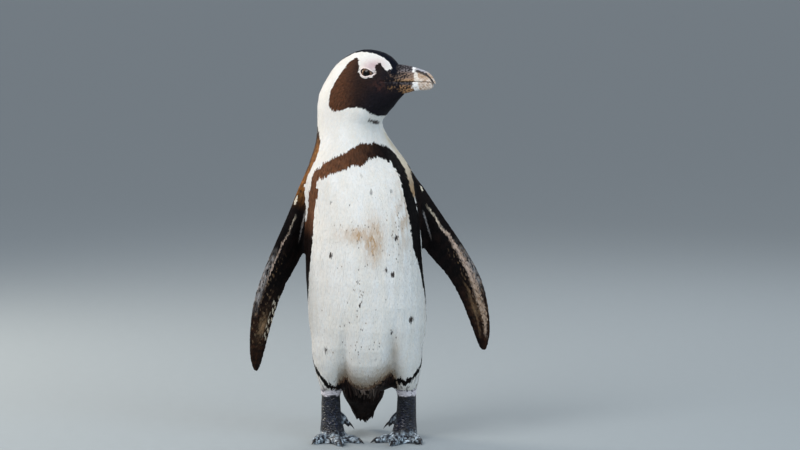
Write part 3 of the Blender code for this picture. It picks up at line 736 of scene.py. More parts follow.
def make_mesh(name, points, faces):
    """A smooth mesh of triangles or quads, from points in millimetres."""
    mesh = bpy.data.meshes.new(name)
    corners = faces.shape[1]
    mesh.vertices.add(len(points))
    mesh.loops.add(faces.size)
    mesh.loops.foreach_set("vertex_index", faces.astype(np.int32).ravel())
    mesh.polygons.add(len(faces))
    mesh.polygons.foreach_set("loop_start", np.arange(0, faces.size, corners, dtype=np.int32))
    mesh.polygons.foreach_set("loop_total", np.full(len(faces), corners, np.int32))
    put_points(mesh, points)
    mesh.validate()
    mesh.shade_smooth()
    return mesh


def dress(mesh, *materials):
    """Gives a mesh these materials and no others."""
    mesh.materials.clear()
    for material in materials:
        mesh.materials.append(material)


def add_object(name, mesh):
    obj = bpy.data.objects.new(name, mesh)
    bpy.context.scene.collection.objects.link(obj)
    return obj


def applied(obj):
    """obj with its modifiers applied to its mesh."""
    graph = bpy.context.evaluated_depsgraph_get()
    mesh = bpy.data.meshes.new_from_object(obj.evaluated_get(graph))
    obj.modifiers.clear()
    obj.data = mesh
    return obj


def set_tint(mesh, tint):
    layer = mesh.color_attributes.new("tint", "FLOAT_COLOR", "POINT")
    rgba = np.ones((len(tint), 4), np.float32)
    rgba[:, :3] = tint
    layer.data.foreach_set("color", rgba.ravel())


def set_layer(mesh, name, kind, values, domain="POINT"):
    """Adds a layer of values for the materials to read, or of marks on edges."""
    layer = mesh.attributes.new(name, kind, domain)
    key = "vector" if kind == "FLOAT_VECTOR" else "value"
    layer.data.foreach_set(key, np.ravel(values).astype(bool if kind == "BOOLEAN" else np.float32))


def welded(name, swell=0.0):
    """A closed copy of a CAD node, larger by swell."""
    bm = bmesh.new()
    bm.from_mesh(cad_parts[name].data)
    bmesh.ops.remove_doubles(bm, verts=bm.verts, dist=0.02 * MM)
    bm.normal_update()
    for vert in bm.verts:
        vert.co += vert.normal * swell * MM
    return bm


def cut_forward(bm, forward_mm):
    """Cuts off and closes what lies further forward on the head."""
    forward, _ = head_directions()
    bmesh.ops.bisect_plane(
        bm,
        geom=bm.verts[:] + bm.edges[:] + bm.faces[:],
        plane_co=to_scene(head_point(forward_mm, 0, 480)),
        plane_no=Vector(forward),
        clear_outer=True,
    )
    bmesh.ops.holes_fill(bm, edges=[e for e in bm.edges if e.is_boundary], sides=0)


def joined(copies, name):
    whole = bmesh.new()
    for bm in copies:
        part = bpy.data.meshes.new("part")
        bm.to_mesh(part)
        bm.free()
        whole.from_mesh(part)
        bpy.data.meshes.remove(part)
    mesh = bpy.data.meshes.new(name)
    whole.to_mesh(mesh)
    whole.free()
    return add_object(name, mesh)


def remeshed(obj, voxel):
    remesh = obj.modifiers.new("remesh", "REMESH")
    remesh.mode = "VOXEL"
    remesh.voxel_size = voxel * MM
    return applied(obj)


def relax(points, edges, weight, rounds):
    """Moves each point towards the middle of its neighbours, by weight, several times."""
    count = np.bincount(edges.ravel(), minlength=len(points))
    for _ in range(rounds):
        total = np.zeros_like(points)
        for axis in range(3):
            total[:, axis] = (
                np.bincount(edges[:, 0], points[edges[:, 1], axis], len(points))
                + np.bincount(edges[:, 1], points[edges[:, 0], axis], len(points))
            )
        points = points + weight[:, None] * (total / count[:, None] - points)
    return points


class Surface:
    """Nearest places on some CAD nodes, and the node each belongs to."""

    def __init__(self, names):
        points, faces, self.owner = [], [], []
        for name in names:
            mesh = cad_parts[name].data
            start = len(points)
            points += list(points_of(mesh))
            faces += [[start + i for i in p.vertices] for p in mesh.polygons]
            self.owner += [name] * len(mesh.polygons)
        self.tree = BVHTree.FromPolygons(points, faces)

    def nearest(self, p):
        hits = [self.tree.find_nearest(Vector(q)) for q in p]
        places = np.array([hit[0] for hit in hits])
        part = np.array([self.owner[hit[2]] for hit in hits])
        return places, part

    def distance(self, p, most):
        hits = [self.tree.find_nearest(Vector(q), most) for q in p]
        return np.array([most if hit[3] is None else hit[3] for hit in hits])


SOLIDS = Surface(FLESH)


# ---------------------------------------------------------------- skin

def coat_scale(p, part):
    """How coarse the coat is: 1 on the trunk, and less towards the bill and on the flippers."""
    scale = table(SCALE_UP, p[:, 2])
    forward, _, z = head_place(p)
    from_bill = np.hypot(forward - BILL_ROOT[0], z - BILL_ROOT[1])
    scale = np.where(z > 400, np.minimum(scale, table(SCALE_FROM_BILL, from_bill)), scale)
    scale[np.char.startswith(part, "flipper")] = FLIPPER_SCALE
    scale[part == "tail"] = TAIL_SCALE
    return scale


def coat_depth(p, part):
    """How far the skin lies inside the solids."""
    depth = COAT_DEPTH * coat_scale(p, part)
    for kind, own in OWN_DEPTHS.items():
        depth[np.char.startswith(part, kind)] = own
    depth *= np.where(np.char.startswith(part, "leg"), smooth(60, 72, p[:, 2]), 1)
    for eye in EYES:
        depth = np.where(eye.outside(p) < LID_SPREAD, LID_DEPTH, depth)
    return depth


def skin_object():
    """Every node of flesh run together, pulled back to the solids' surface and then in by the coat."""
    copies = [welded(name, SWELL) for name in FLESH]
    copies += [welded(eye.name) for eye in EYES]
    for name in BILL:
        plug = welded(name, -0.5)
        cut_forward(plug, BILL_PLUG)
        copies.append(plug)
    skin = remeshed(joined(copies, "skin"), VOXEL * (1))
    mesh = skin.data
    points = points_of(mesh)
    edges = edges_of(mesh)
    points = relax(points, edges, np.full(len(points), 0.5), 3)
    solids = Surface(FLESH + BILL + tuple(eye.name for eye in EYES))
    nearest, part = solids.nearest(points)
    junction = junction_weight(points, part)
    points = mix(points, nearest, 0.85 * (1 - junction))
    points = relax(points, edges, 0.7 * junction, 30)
    points = relax(points, edges, np.full(len(points), 0.3), 2)
    put_points(mesh, points)
    normals = numbers(mesh.vertices, "normal", 3)
    points = points - normals * (coat_depth(points, part) + groove_depth(points))[:, None]
    put_points(mesh, points)
    return skin


def groove_depth(p):
    """The soft valleys that run down between the belly and the thighs."""
    fade = span(p[:, 2], *GROOVE_HEIGHTS) * smooth(-14, -34, p[:, 1])
    valleys = [peak(p[:, 0], across, half) for across, half in GROOVES]
    return GROOVE_DEPTH * fade * sum(valleys)


def junction_weight(points, part):
    """1 where a limb meets the trunk, falling to 0 away from there."""
    weight = np.zeros(len(points))
    trunk = Surface(("trunk",))
    limbs = Surface(LIMBS)
    of_limb = np.isin(part, LIMBS)
    of_trunk = part == "trunk"
    near, far = JUNCTION
    weight[of_limb] = smooth(far, near, trunk.distance(points[of_limb], far))
    weight[of_trunk] = smooth(far, near, limbs.distance(points[of_trunk], far))
    return weight


def refine(bm, chosen, rounds):
    """Splits the faces whose corners are all chosen."""
    for _ in range(rounds):
        inside = {v for v in bm.verts if chosen(to_bird(v.co))}
        edges = [e for e in bm.edges if e.verts[0] in inside and e.verts[1] in inside]
        bmesh.ops.subdivide_edges(bm, edges=edges, cuts=1, use_grid_fill=True)


def needs_detail(place):
    """The corner of the bill, and the feet."""
    q = np.array(place)[None]
    forward, _, z = (float(v[0]) for v in head_place(q))
    return (abs(forward - 68) < 16 and abs(z - 478) < 7) or z < 60


def boundary_loop(bm):
    """The open edge's vertices, in order."""
    start = next(e for e in bm.edges if e.is_boundary)
    loop, edge = [start.verts[0], start.verts[1]], start
    while loop[-1] is not loop[0]:
        edge = next(e for e in loop[-1].link_edges if e.is_boundary and e is not edge)
        loop.append(edge.other_vert(loop[-1]))
    return loop[:-1]


def lid_height(eye, place, away, surface_height):
    """Height over the ball's middle of the lid at a place outside the opening."""
    edge_height = eye.ball_height(*place) + LID_CLEARANCE
    roll = RIM_HEIGHT * math.sin(math.pi * min(away / RIM_WIDTH, 1.0))
    blend = float(smooth(1.6, 6.5, np.array(away)))
    return (edge_height + roll) * (1 - blend) + surface_height * blend


def skin_height(eye, tree, a, b):
    """Height over the ball's middle of the old skin at a place beside the eye."""
    start = Vector(to_scene(eye.world(np.array((a, b, 30.0)))))
    hit = tree.ray_cast(start, -Vector(eye.axes[2]))[0]
    return float(eye.local(to_bird(hit)[None])[0, 2])


def socket_edge(bm, eye):
    """Deletes the skin over one eye, and gives the edge of the hole in order."""
    def in_socket(vert):
        a, b, out = eye.local(to_bird(vert.co)[None])[0]
        return out > 0 and math.hypot(a - OPENING_PLACE[0], b - OPENING_PLACE[1]) < SOCKET

    inside = {v for v in bm.verts if in_socket(v)}
    over = [f for f in bm.faces if all(v in inside for v in f.verts)]
    bmesh.ops.delete(bm, geom=over, context="FACES")
    return boundary_loop(bm)


def lid_ring(eye, tree, places, edge, step):
    """Places of a ring on the lids, at most a step away from the opening's edge."""
    ring = []
    for place, rim in zip(places, edge):
        reach = np.linalg.norm(place - rim)
        away = min(step, reach * 0.93)
        at = rim + (place - rim) * away / reach
        height = lid_height(eye, rim + (at - rim) * 0.3, away, skin_height(eye, tree, *at))
        ring.append((*at, height))
    return ring


def tucked_ring(eye, edge, inward, sink):
    """Places of a ring that turns in under the opening's edge."""
    middle = np.array(OPENING_PLACE)
    ring = []
    for rim in edge:
        at = rim + (middle - rim) / np.linalg.norm(middle - rim) * inward
        ring.append((*at, eye.ball_height(*rim) + LID_CLEARANCE - sink))
    return ring


def add_lids(bm, eye):
    """Rebuilds the skin round one eye as rings that follow the opening and turn in under its edge."""
    tree = BVHTree.FromBMesh(bm)
    outer = socket_edge(bm, eye)
    places = eye.local(to_bird([v.co for v in outer]))[:, :2]
    angles = np.arctan2(places[:, 1] - OPENING_PLACE[1], places[:, 0] - OPENING_PLACE[0])
    edge = eye.edge(np.arctan2(np.sin(angles) * OPENING_WIDTH, np.cos(angles) * OPENING_HEIGHT))
    rings = [lid_ring(eye, tree, places, edge, step) for step in RING_STEPS]
    rings += [tucked_ring(eye, edge, *tuck) for tuck in LID_TUCKS]
    rings = [outer] + [[bm.verts.new(to_scene(eye.world(np.array(q)))) for q in ring] for ring in rings]
    for a, b in zip(rings, rings[1:]):
        for i in range(len(a)):
            j = (i + 1) % len(a)
            bm.faces.new((a[i], a[j], b[j], b[i]))
    bm.faces.new(rings[-1])


def add_gape(points, normals):
    """Presses the corner of the mouth into the skin behind the bill."""
    forward, _, z = head_place(points)
    start, end, height = GAPE
    depth = GAPE_DEPTH * smooth(start, start + 6, forward) * smooth(end + 3, end, forward)
    depth = depth * peak(z, height, GAPE_HALF)
    return points - normals * depth[:, None]


def detailed(skin):
    """Makes the skin finer where it needs it, adds the lids and splits it into triangles."""
    bm = bmesh.new()
    bm.from_mesh(skin.data)
    for eye in EYES:
        over_eye = eye.middle + eye.axes[2] * 6
        refine(bm, lambda co: np.linalg.norm(np.array(co) - over_eye) < FINE_SKIN, 1)
    refine(bm, needs_detail, 1)
    for eye in EYES:
        add_lids(bm, eye)
    bmesh.ops.triangulate(bm, faces=bm.faces)
    bmesh.ops.recalc_face_normals(bm, faces=bm.faces)
    bm.to_mesh(skin.data)
    bm.free()


def build_skin():
    skin = skin_object()
    detailed(skin)
    mesh = skin.data
    points = points_of(mesh)
    points = add_gape(points, numbers(mesh.vertices, "normal", 3))
    put_points(mesh, points)
    mesh.shade_smooth()
    _, part = SOLIDS.nearest(points)
    z = points[:, 2]
    set_tint(mesh, spotted(points, dye(points, part)))
    set_layer(mesh, "dust", "FLOAT", dust_share(points))
    set_layer(mesh, "smooth_skin", "FLOAT", smooth(BARE_LEG - 1, BARE_LEG + 1, z))
    dress(mesh, plumage_material("down", 0.4), foot_material(), bare_material())
    below_feathers = np.char.startswith(part, "leg") | np.char.startswith(part, "foot")
    finish = np.where(below_feathers & (z < ANKLE_RING), 1, 0)
    for eye in EYES:
        finish[eye.outside(points) < LID_SKIN] = 2
    faces = triangles_of(mesh)
    mesh.polygons.foreach_set("material_index", finish[faces].max(axis=1).astype(np.int32))
    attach(skin, "root")
    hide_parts(*FLESH)
    return skin


# ---------------------------------------------------------------- coat

def lie(p, part):
    """The direction in which the feathers lie at each point."""
    flow = np.tile((0.0, 0.0, -1.0), (len(p), 1))
    flow[:, 1] += 0.35 * smooth(110, 70, p[:, 2])
    away = p - head_point(BILL_ROOT[0] + 4, 0, BILL_ROOT[1])
    reach = np.linalg.norm(away, axis=1)
    flow = mix(flow, unit(away), smooth(*FACE_FLOW, reach) * (p[:, 2] > HEAD_FROM - 10))
    for name in FLIPPERS:
        along, chord, _ = flipper_directions(name)
        flow[part == name] = along - FLIPPER_SWEEP * chord
    tail = part == "tail"
    flow[tail] = TAIL_FLOW
    flow[tail, 0] = -0.018 * (p[tail, 0] - TAIL_SIDE)
    for side in ("leg_left", "leg_right"):
        flow[part == side] = LEG_FLOW
    return flow


def is_bare(p, part):
    """Where no feathers grow: feet, lids, the corner of the mouth and under the bill."""
    bare = np.char.startswith(part, "foot")
    forward, _, z = head_place(p)
    bare |= np.char.startswith(part, "leg") & (z < COAT_ENDS + 1.6 * ripple(p, 4, 91))
    on_face = z > FACE_FROM
    bare |= on_face & (forward > FACE_FEATHERS)
    bare |= on_face & (forward > GAPE[0] - 2) & (np.abs(z - GAPE[2]) < GAPE_SKIN_HALF)
    for eye in EYES:
        bare |= on_face & (eye.outside(p) < LID_FEATHERS)
    return bare


def scatter(mesh, seed):
    """Evenly spread places on the skin, closer together where the coat is finer."""
    rng = np.random.default_rng(seed)
    points = points_of(mesh)
    normals = numbers(mesh.vertices, "normal", 3)
    faces = triangles_of(mesh)
    corners = points[faces]
    middle = corners.mean(axis=1)
    _, part = SOLIDS.nearest(middle)
    spacing = SPACING * coat_scale(middle, part) * 1
    first, second = corners[:, 1] - corners[:, 0], corners[:, 2] - corners[:, 0]
    area = np.linalg.norm(np.cross(first, second), axis=1) / 2
    wanted = area / spacing**2 * ~is_bare(middle, part)
    count = int(TRIES * wanted.sum())
    face = rng.choice(len(faces), count, p=wanted / wanted.sum())
    weights = rng.dirichlet((1, 1, 1), count)
    place = np.einsum("ij,ijk->ik", weights, corners[face])
    normal = unit(np.einsum("ij,ijk->ik", weights, normals[faces[face]]))
    kept = thinned(place, spacing[face])
    bare = is_bare(place[kept], part[face][kept])
    kept = kept[~bare]
    return place[kept], normal[kept], part[face][kept]


def thinned(place, spacing):
    """Keeps each place that is no nearer than its spacing to one that is kept already."""
    cell = spacing.max()
    grid, kept = {}, []
    for i, (p, gap) in enumerate(zip(place.tolist(), (spacing**2).tolist())):
        home = (int(p[0] // cell), int(p[1] // cell), int(p[2] // cell))
        if clear_of(grid, home, p, gap):
            grid.setdefault(home, []).append(p)
            kept.append(i)
    return np.array(kept)


def clear_of(grid, home, p, gap):
    for i in (home[0] - 1, home[0], home[0] + 1):
        for j in (home[1] - 1, home[1], home[1] + 1):
            for k in (home[2] - 1, home[2], home[2] + 1):
                for q in grid.get((i, j, k), ()):
                    if (p[0] - q[0]) ** 2 + (p[1] - q[1]) ** 2 + (p[2] - q[2]) ** 2 < gap:
                        return False
    return True


def vent_share(p, part):
    """1 under the vent's dark edge, where long loose feathers hang over the root of the tail."""
    x, _, z = p.T
    inside = span(x, *VENT_SPAN) * (z > 50) * (part == "trunk")
    return inside * smooth(5, -4, z - table(VENT, x))


class Coat:
    """The roots of the vanes and all that shapes them, ready to be cut into pieces."""

    def __init__(self, skin):
        rng = np.random.default_rng(7)
        self.root, self.normal, self.part = scatter(skin.data, 3)
        count = len(self.root)
        scale = coat_scale(self.root, self.part)
        flow = lie(self.root, self.part) + rng.normal(0, 0.07, (count, 3))
        vent = vent_share(self.root, self.part)
        flow -= self.normal * ((flow * self.normal).sum(axis=1) * (1 - 0.55 * vent))[:, None]
        self.flow = unit(flow)
        # A vane is short where the skin faces along the flow
        sure = np.clip(1.25 * np.linalg.norm(flow, axis=1), 0.3, 1)
        self.length = LENGTH * scale * rng.uniform(0.85, 1.2, count) * (1 + 1.1 * vent) * sure
        self.width = WIDTH * scale * rng.uniform(0.85, 1.15, count)
        self.loose = ((self.part == "tail") & (self.root[:, 2] < LOOSE_BELOW)) | (vent > 0.5)
        self.stretch(rng, sure)
        rise = np.maximum(0.45 * coat_depth(self.root, self.part), 0.16)
        self.rise = rise * rng.uniform(0.9, 1.1, count)
        self.thickness = THICKNESS * (0.35 + 0.65 * scale)
        self.tint = self.tints(rng)
        self.tip_tint = self.tips(rng)
        self.width[(self.tip_tint != self.tint).any(axis=1)] *= MARKED_WIDTH

    def stretch(self, rng, sure):
        """Lengthens the tail's feathers and the loose ones, and keeps the tail off the floor."""
        tail = self.part == "tail"
        self.length[tail] *= TAIL_STRETCH * sure[tail]
        slope = 0.5 * np.abs(self.root[:, 0] - TAIL_SIDE)
        lowest = TAIL_FLOOR + slope + rng.uniform(-2, 9, len(slope))
        room = (self.root[:, 2] - lowest) / np.maximum(-self.flow[:, 2], 0.2)
        self.length[self.loose & (sure >= 1)] *= LOOSE_STRETCH
        self.length = np.where(tail, np.clip(self.length, 2, np.maximum(room, 2)), self.length)

    def places(self, share):
        """Places at a share of the way along each vane."""
        return self.root + self.flow * self.length[:, None] * share

    def tints(self, rng):
        """The colour of each vane, read where its visible end lies."""
        tint = dye(self.places(0.75), self.part)
        pale = tint.mean(axis=1) > PALE
        tint = spotted(self.places(0.7), tint)
        tint *= (1 + np.where(pale, 0.012, 0.2) * rng.normal(0, 1, len(tint)))[:, None]
        warmth = rng.normal(0, 1, (len(tint), 1)) * (1, 0, -1)
        tint *= 1 + np.where(pale, 0.01, 0.05)[:, None] * warmth
        return np.clip(tint, 0.002, 0.92)

    def tips(self, rng):
        """The colour of each vane's end, which is dark where a spot or a stray fleck falls."""
        end = self.places(0.92)
        fleck = rng.random(len(end)) < fleck_chance(end) * (self.part == "trunk")
        marked = fleck & (self.tint.mean(axis=1) > PALE)
        tint = spotted(end, self.tint)
        tint[marked] = mix(DARK_BROWN, STAIN, rng.random((marked.sum(), 1)) * 0.5)
        return tint


def fleck_chance(p):
    """Dark flecks lie thinly down the middle of the breast and belly, and thicker in four patches."""
    x, y, z = p.T
    chance = 0.014 * patch(x, z, *FLECK_FIELD)
    for place in FLECK_PATCHES:
        chance += 0.12 * patch(x, z, *place)
    return chance * (y < 0)


def vane_shape(coat, chosen, tree):
    """Points of each chosen vane: for each ring its left, right and ridge, then the tip."""
    root, flow = coat.root[chosen], coat.flow[chosen]
    length, width = coat.length[chosen], coat.width[chosen]
    rows, normal = [], coat.normal[chosen]
    for place, wide in zip((*RING_PLACES, 1.0), (*RING_WIDTHS, 0.0)):
        at = root + flow * (length * place)[:, None]
        at, normal = settled(at, normal, tree, coat.loose[chosen])
        side = unit(np.cross(normal, flow))
        lift = (ROOT_LIFT + (coat.rise[chosen] - ROOT_LIFT) * place**0.8)[:, None]
        thick = (coat.thickness[chosen] * (1 - 0.55 * place))[:, None]
        half = side * (width * wide / 2)[:, None]
        middle = at + normal * lift
        if wide:
            rows += [middle - half, middle + half, middle + normal * thick]
        else:
            rows.append(middle + normal * thick * 0.3)
    return np.stack(rows, axis=1)


def settled(at, normal, tree, loose):
    """Points moved on to the skin, and the skin's direction there eased towards the last one.

    A loose vane runs straight on where it has left the skin behind.
    """
    hits = [tree.find_nearest(Vector(p)) for p in at]
    places = np.array([hit[0] for hit in hits])
    found = np.array([hit[1] for hit in hits])
    found *= np.sign((found * normal).sum(axis=1, keepdims=True) + 1e-9)
    beyond = (loose & (np.linalg.norm(places - at, axis=1) > HANGING))[:, None]
    return np.where(beyond, at, places), unit(np.where(beyond, normal, found + normal))


def crease_sides(mesh, size):
    """Marks the sides of each vane sharp, so that its top is shaded as one gentle curve."""
    kind = edges_of(mesh) % size
    kind = np.where(kind == size - 1, 3, kind % 3)
    a, b = kind[:, 0], kind[:, 1]
    sharp = ((a == b) & (a < 2)) | ((a == 3) & (b < 2)) | ((b == 3) & (a < 2))
    set_layer(mesh, "sharp_edge", "BOOLEAN", sharp, "EDGE")


def vane_faces(rings):
    """Triangles of one vane: its root, the strips between its rings and its tip."""
    sides = ((0, 1), (1, 2), (2, 0))
    faces = [(0, 2, 1)]
    for a in range(0, 3 * rings - 3, 3):
        for i, j in sides:
            faces += [(a + i, a + j, a + j + 3), (a + i, a + j + 3, a + i + 3)]
    last, tip = 3 * rings - 3, 3 * rings
    faces += [(last + i, last + j, tip) for i, j in sides]
    return np.array(faces)


def vane_mesh(name, coat, chosen, tree):
    """One mesh of many closed vanes, with its colours, its barb places and its bake map."""
    points = vane_shape(coat, chosen, tree)
    count, size = points.shape[:2]
    faces = (vane_faces(len(RING_PLACES))[None] + size * np.arange(count)[:, None, None]).reshape(-1, 3)
    mesh = make_mesh(name, points.reshape(-1, 3), faces)
    crease_sides(mesh, size)
    along = np.repeat((*RING_PLACES, 1.0), [3] * len(RING_PLACES) + [1])
    across = np.array([s * w / 2 for w in RING_WIDTHS for s in (-1, 1, 0)] + [0.0])
    # Painted shade: each vane darkens a little towards its root, where the vanes above it cover it.
    shade = 0.96 + 0.04 * smooth(0.0, 0.6, along)
    tint = coat.tint[chosen][:, None, :] * shade[None, :, None]
    tint[:, -4:] = coat.tip_tint[chosen][:, None, :]
    set_tint(mesh, tint.reshape(-1, 3))
    barb = np.empty((count, size, 3))
    barb[:, :, 0] = across * coat.width[chosen][:, None]
    barb[:, :, 1] = along * coat.length[chosen][:, None]
    barb[:, :, 2] = np.arange(count)[:, None] * 0.37
    set_layer(mesh, "barb", "FLOAT_VECTOR", barb)
    patches = np.stack((across, along - 0.5), axis=1) * PATCH
    uv = unwrap(coat.root[chosen], coat.part[chosen])[:, None, :] + patches[None]
    layer = mesh.uv_layers.new(name="OFBake")
    corners = numbers(mesh.loops, "vertex_index", 1, np.int32).ravel()
    layer.data.foreach_set("uv", uv.reshape(-1, 2)[corners].astype(np.float32).ravel())
    return mesh


def turn_round(x, y):
    return np.arctan2(x, y) / (2 * math.pi) + 0.5


def unwrap(p, part):
    """Places of points on a flat map of the skin's own shape, from 0.01 to 0.99 each way."""
    turn = (np.degrees(np.arctan2(p[:, 0], -p[:, 1])) + 180) / 360
    uv = np.column_stack((turn, p[:, 2] / 520))
    forward, across, z = head_place(p)
    off = np.column_stack((forward - 22, across, z - 470))
    head = part == "head"
    fall = np.arccos(np.clip(off[:, 2] / np.linalg.norm(off, axis=1), -1, 1)) / math.pi
    uv[head] = np.column_stack((turn_round(off[:, 1], off[:, 0]), fall))[head]
    for name in FLIPPERS:
        along, chord, out = flipper_place(p, name)
        both = np.where(out > 0, 0.27, 0.73) + chord / 40 * 0.2
        uv[part == name] = np.column_stack(((along + 30) / 290, both))[part == name]
    for name in ("leg_left", "leg_right", "tail"):
        chosen = part == name
        if chosen.any():
            x, y, height = (p[chosen] - p[chosen].mean(axis=0) * (1, 1, 0)).T
            uv[chosen] = np.column_stack((turn_round(x, y), height / 190))
    return np.clip(uv, 0.01, 0.99)


def coat_regions(coat):
    """Names of the pieces, and the vanes that each holds."""
    turn, z = np.abs(around(coat.root)), coat.root[:, 2]
    trunk = coat.part == "trunk"
    front, back = trunk & (turn < FRONT_TURN), trunk & (turn >= FRONT_TURN)
    upper, lower = z > WAIST, z <= WAIST
    regions = {
        "coat_head": coat.part == "head",
        "coat_neck": coat.part == "neck",
        "coat_breast": front & upper,
        "coat_belly": front & lower,
        "coat_back": back & upper,
        "coat_rump": back & lower,
    }
    for part in ("flipper_left", "flipper_right", "leg_left", "leg_right", "tail"):
        regions["coat_" + part] = coat.part == part
    for name, chosen in regions.items():
        chosen = np.flatnonzero(chosen)
        pieces = max(1, math.ceil(len(chosen) / MOST_VANES))
        chosen = chosen[np.argsort(z[chosen], kind="stable")]
        for i, share in enumerate(np.array_split(chosen, pieces)):
            yield (name if pieces == 1 else f"{name}_{i + 1}"), share


def build_coat(skin):
    coat = Coat(skin)
    tree = BVHTree.FromPolygons(
        points_of(skin.data).tolist(), [p.vertices[:] for p in skin.data.polygons]
    )
    material = plumage_material("feather", 1.0)
    for name, chosen in coat_regions(coat):
        if not len(chosen):
            continue
        piece = add_object(name, vane_mesh(name, coat, chosen, tree))
        dress(piece.data, material)
        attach(piece, "root")


# ---------------------------------------------------------------- bill, claws and eyes

def bill_object(name):
    """A finer copy of a mandible, with its wrinkles, groove and nostril worked in."""
    piece = remeshed(joined([welded(name)], name + "_horn"), BILL_VOXEL)
    mesh = piece.data
    points = points_of(mesh)
    points = relax(points, edges_of(mesh), np.full(len(points), 0.5), 2)
    put_points(mesh, points)
    normals = numbers(mesh.vertices, "normal", 3)
    points = points + normals * bill_relief(points, name)[:, None]
    put_points(mesh, points)
    mesh.shade_smooth()
    set_tint(mesh, bill_tint(points, name))
    dress(mesh, horn_material())
    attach(piece, "root")
    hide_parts(name)
    return piece


def bill_relief(p, name):
    """How far the bill's wrinkles, groove and nostril stand out, or in where it is negative."""
    forward, across, z = head_place(p)
    side = smooth(1.5, 3.5, np.abs(across))
    slanted = np.column_stack((forward + 0.8 * (z - 480), z * 0.25, across * 0.1))
    height = 0.13 * ripple(slanted, 1.5, 101) * smooth(122, 100, forward)
    if name == "bill_upper":
        groove = peak(z, table(BILL_GROOVE, forward), 0.8)
        height -= 0.55 * groove * side * smooth(120, 108, forward)
        height -= 1.1 * patch(forward, z, *NOSTRIL) * side
    else:
        height -= 0.35 * peak(z, LOWER_GROOVE, 0.8) * side * smooth(112, 98, forward)
    return height


def bill_tint(p, name):
    """Spotted slate, tan and brown, with a pale slanting band, a painted bluish highlight along the
    ridge and a dark stripe below the ridge.
    """
    forward, across, z = head_place(p)
    streaks = ripple(np.column_stack((forward * 0.45, z * 1.4, across * 0.5)), 1.9, 111)
    blots = ripple(np.column_stack((forward, z, across)), 2.6, 112)
    start, slant, width, narrowing = PALE_BAND[name]
    width = width - narrowing * (z - BAND_LEVEL)
    past_start = forward - (start - slant * (z - BAND_LEVEL)) + 1.6 * blots + 1.0 * streaks
    band = smooth(-1.2, 0.8, past_start) * np.clip(0.9 + 0.2 * streaks, 0, 1)
    pale = mix(HORN_WHITE, HORN_PALE, smooth(477, 479, z) * smooth(493, 488, z))
    tip = mix(HORN_TIP, HORN_TAN, 0.7 * smooth(480, 485, z))
    beyond = mix(pale, tip, smooth(width - 1.2, width + 1.2, past_start))
    tint = painted(base_tint(p), beyond, band)
    worn = smooth(-0.1, 0.6, 0.7 * ripple(p, 2.2, 114) + 0.5 * ripple(p, 1.1, 118))
    tint = mix(tint, HORN_BROWN * 0.8, 0.65 * worn * smooth(width - 3, width + 2, past_start))
    if name == "bill_lower":
        return tint
    below = table(CULMEN, forward) - z + 0.5 * blots
    ridge = smooth(101, 106, forward)
    # Painted highlight: the sky's bluish reflection along the top of the ridge.
    tint = mix(tint, HORN_SKY_HIGHLIGHT, 0.8 * ridge * smooth(2.6, 1.6, below) * smooth(126, 114, forward))
    return mix(tint, HORN_DARK * 0.7, 0.95 * ridge * span(below, 1.5, 2.2, 4.2, 5.8))


def claw_object(name):
    """A rounded copy of a claw."""
    piece = joined([welded(name)], name + "_horn")
    rounded = piece.modifiers.new("rounded", "SUBSURF")
    rounded.levels = 2
    rounded.render_levels = 2
    applied(piece)
    piece.data.shade_smooth()
    dress(piece.data, claw_material())
    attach(piece, "root")
    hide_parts(name)


def eye_object(eye):
    """A smooth ball with its pupil turned a little forward of straight out."""
    bm = bmesh.new()
    bmesh.ops.create_uvsphere(bm, u_segments=64, v_segments=48, radius=eye.radius * MM)
    mesh = bpy.data.meshes.new(eye.name + "_ball")
    bm.to_mesh(mesh)
    bm.free()
    a = math.radians(GAZE)
    gaze = Vector(eye.axes[2] * math.cos(a) + eye.axes[0] * math.sin(a))
    turn = gaze.to_track_quat("Z", "Y").to_matrix()
    points = numbers(mesh.vertices, "co", 3) / MM
    off_axis = np.hypot(points[:, 0], points[:, 1]) + np.where(points[:, 2] < 0, 10, 0)
    points = points @ np.array(turn).T + eye.middle
    put_points(mesh, points)
    set_layer(mesh, "off_axis", "FLOAT", off_axis)
    mesh.shade_smooth()
    dress(mesh, eye_material())
    piece = add_object(mesh.name, mesh)
    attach(piece, "root")
    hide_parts(eye.name)


# ---------------------------------------------------------------- materials

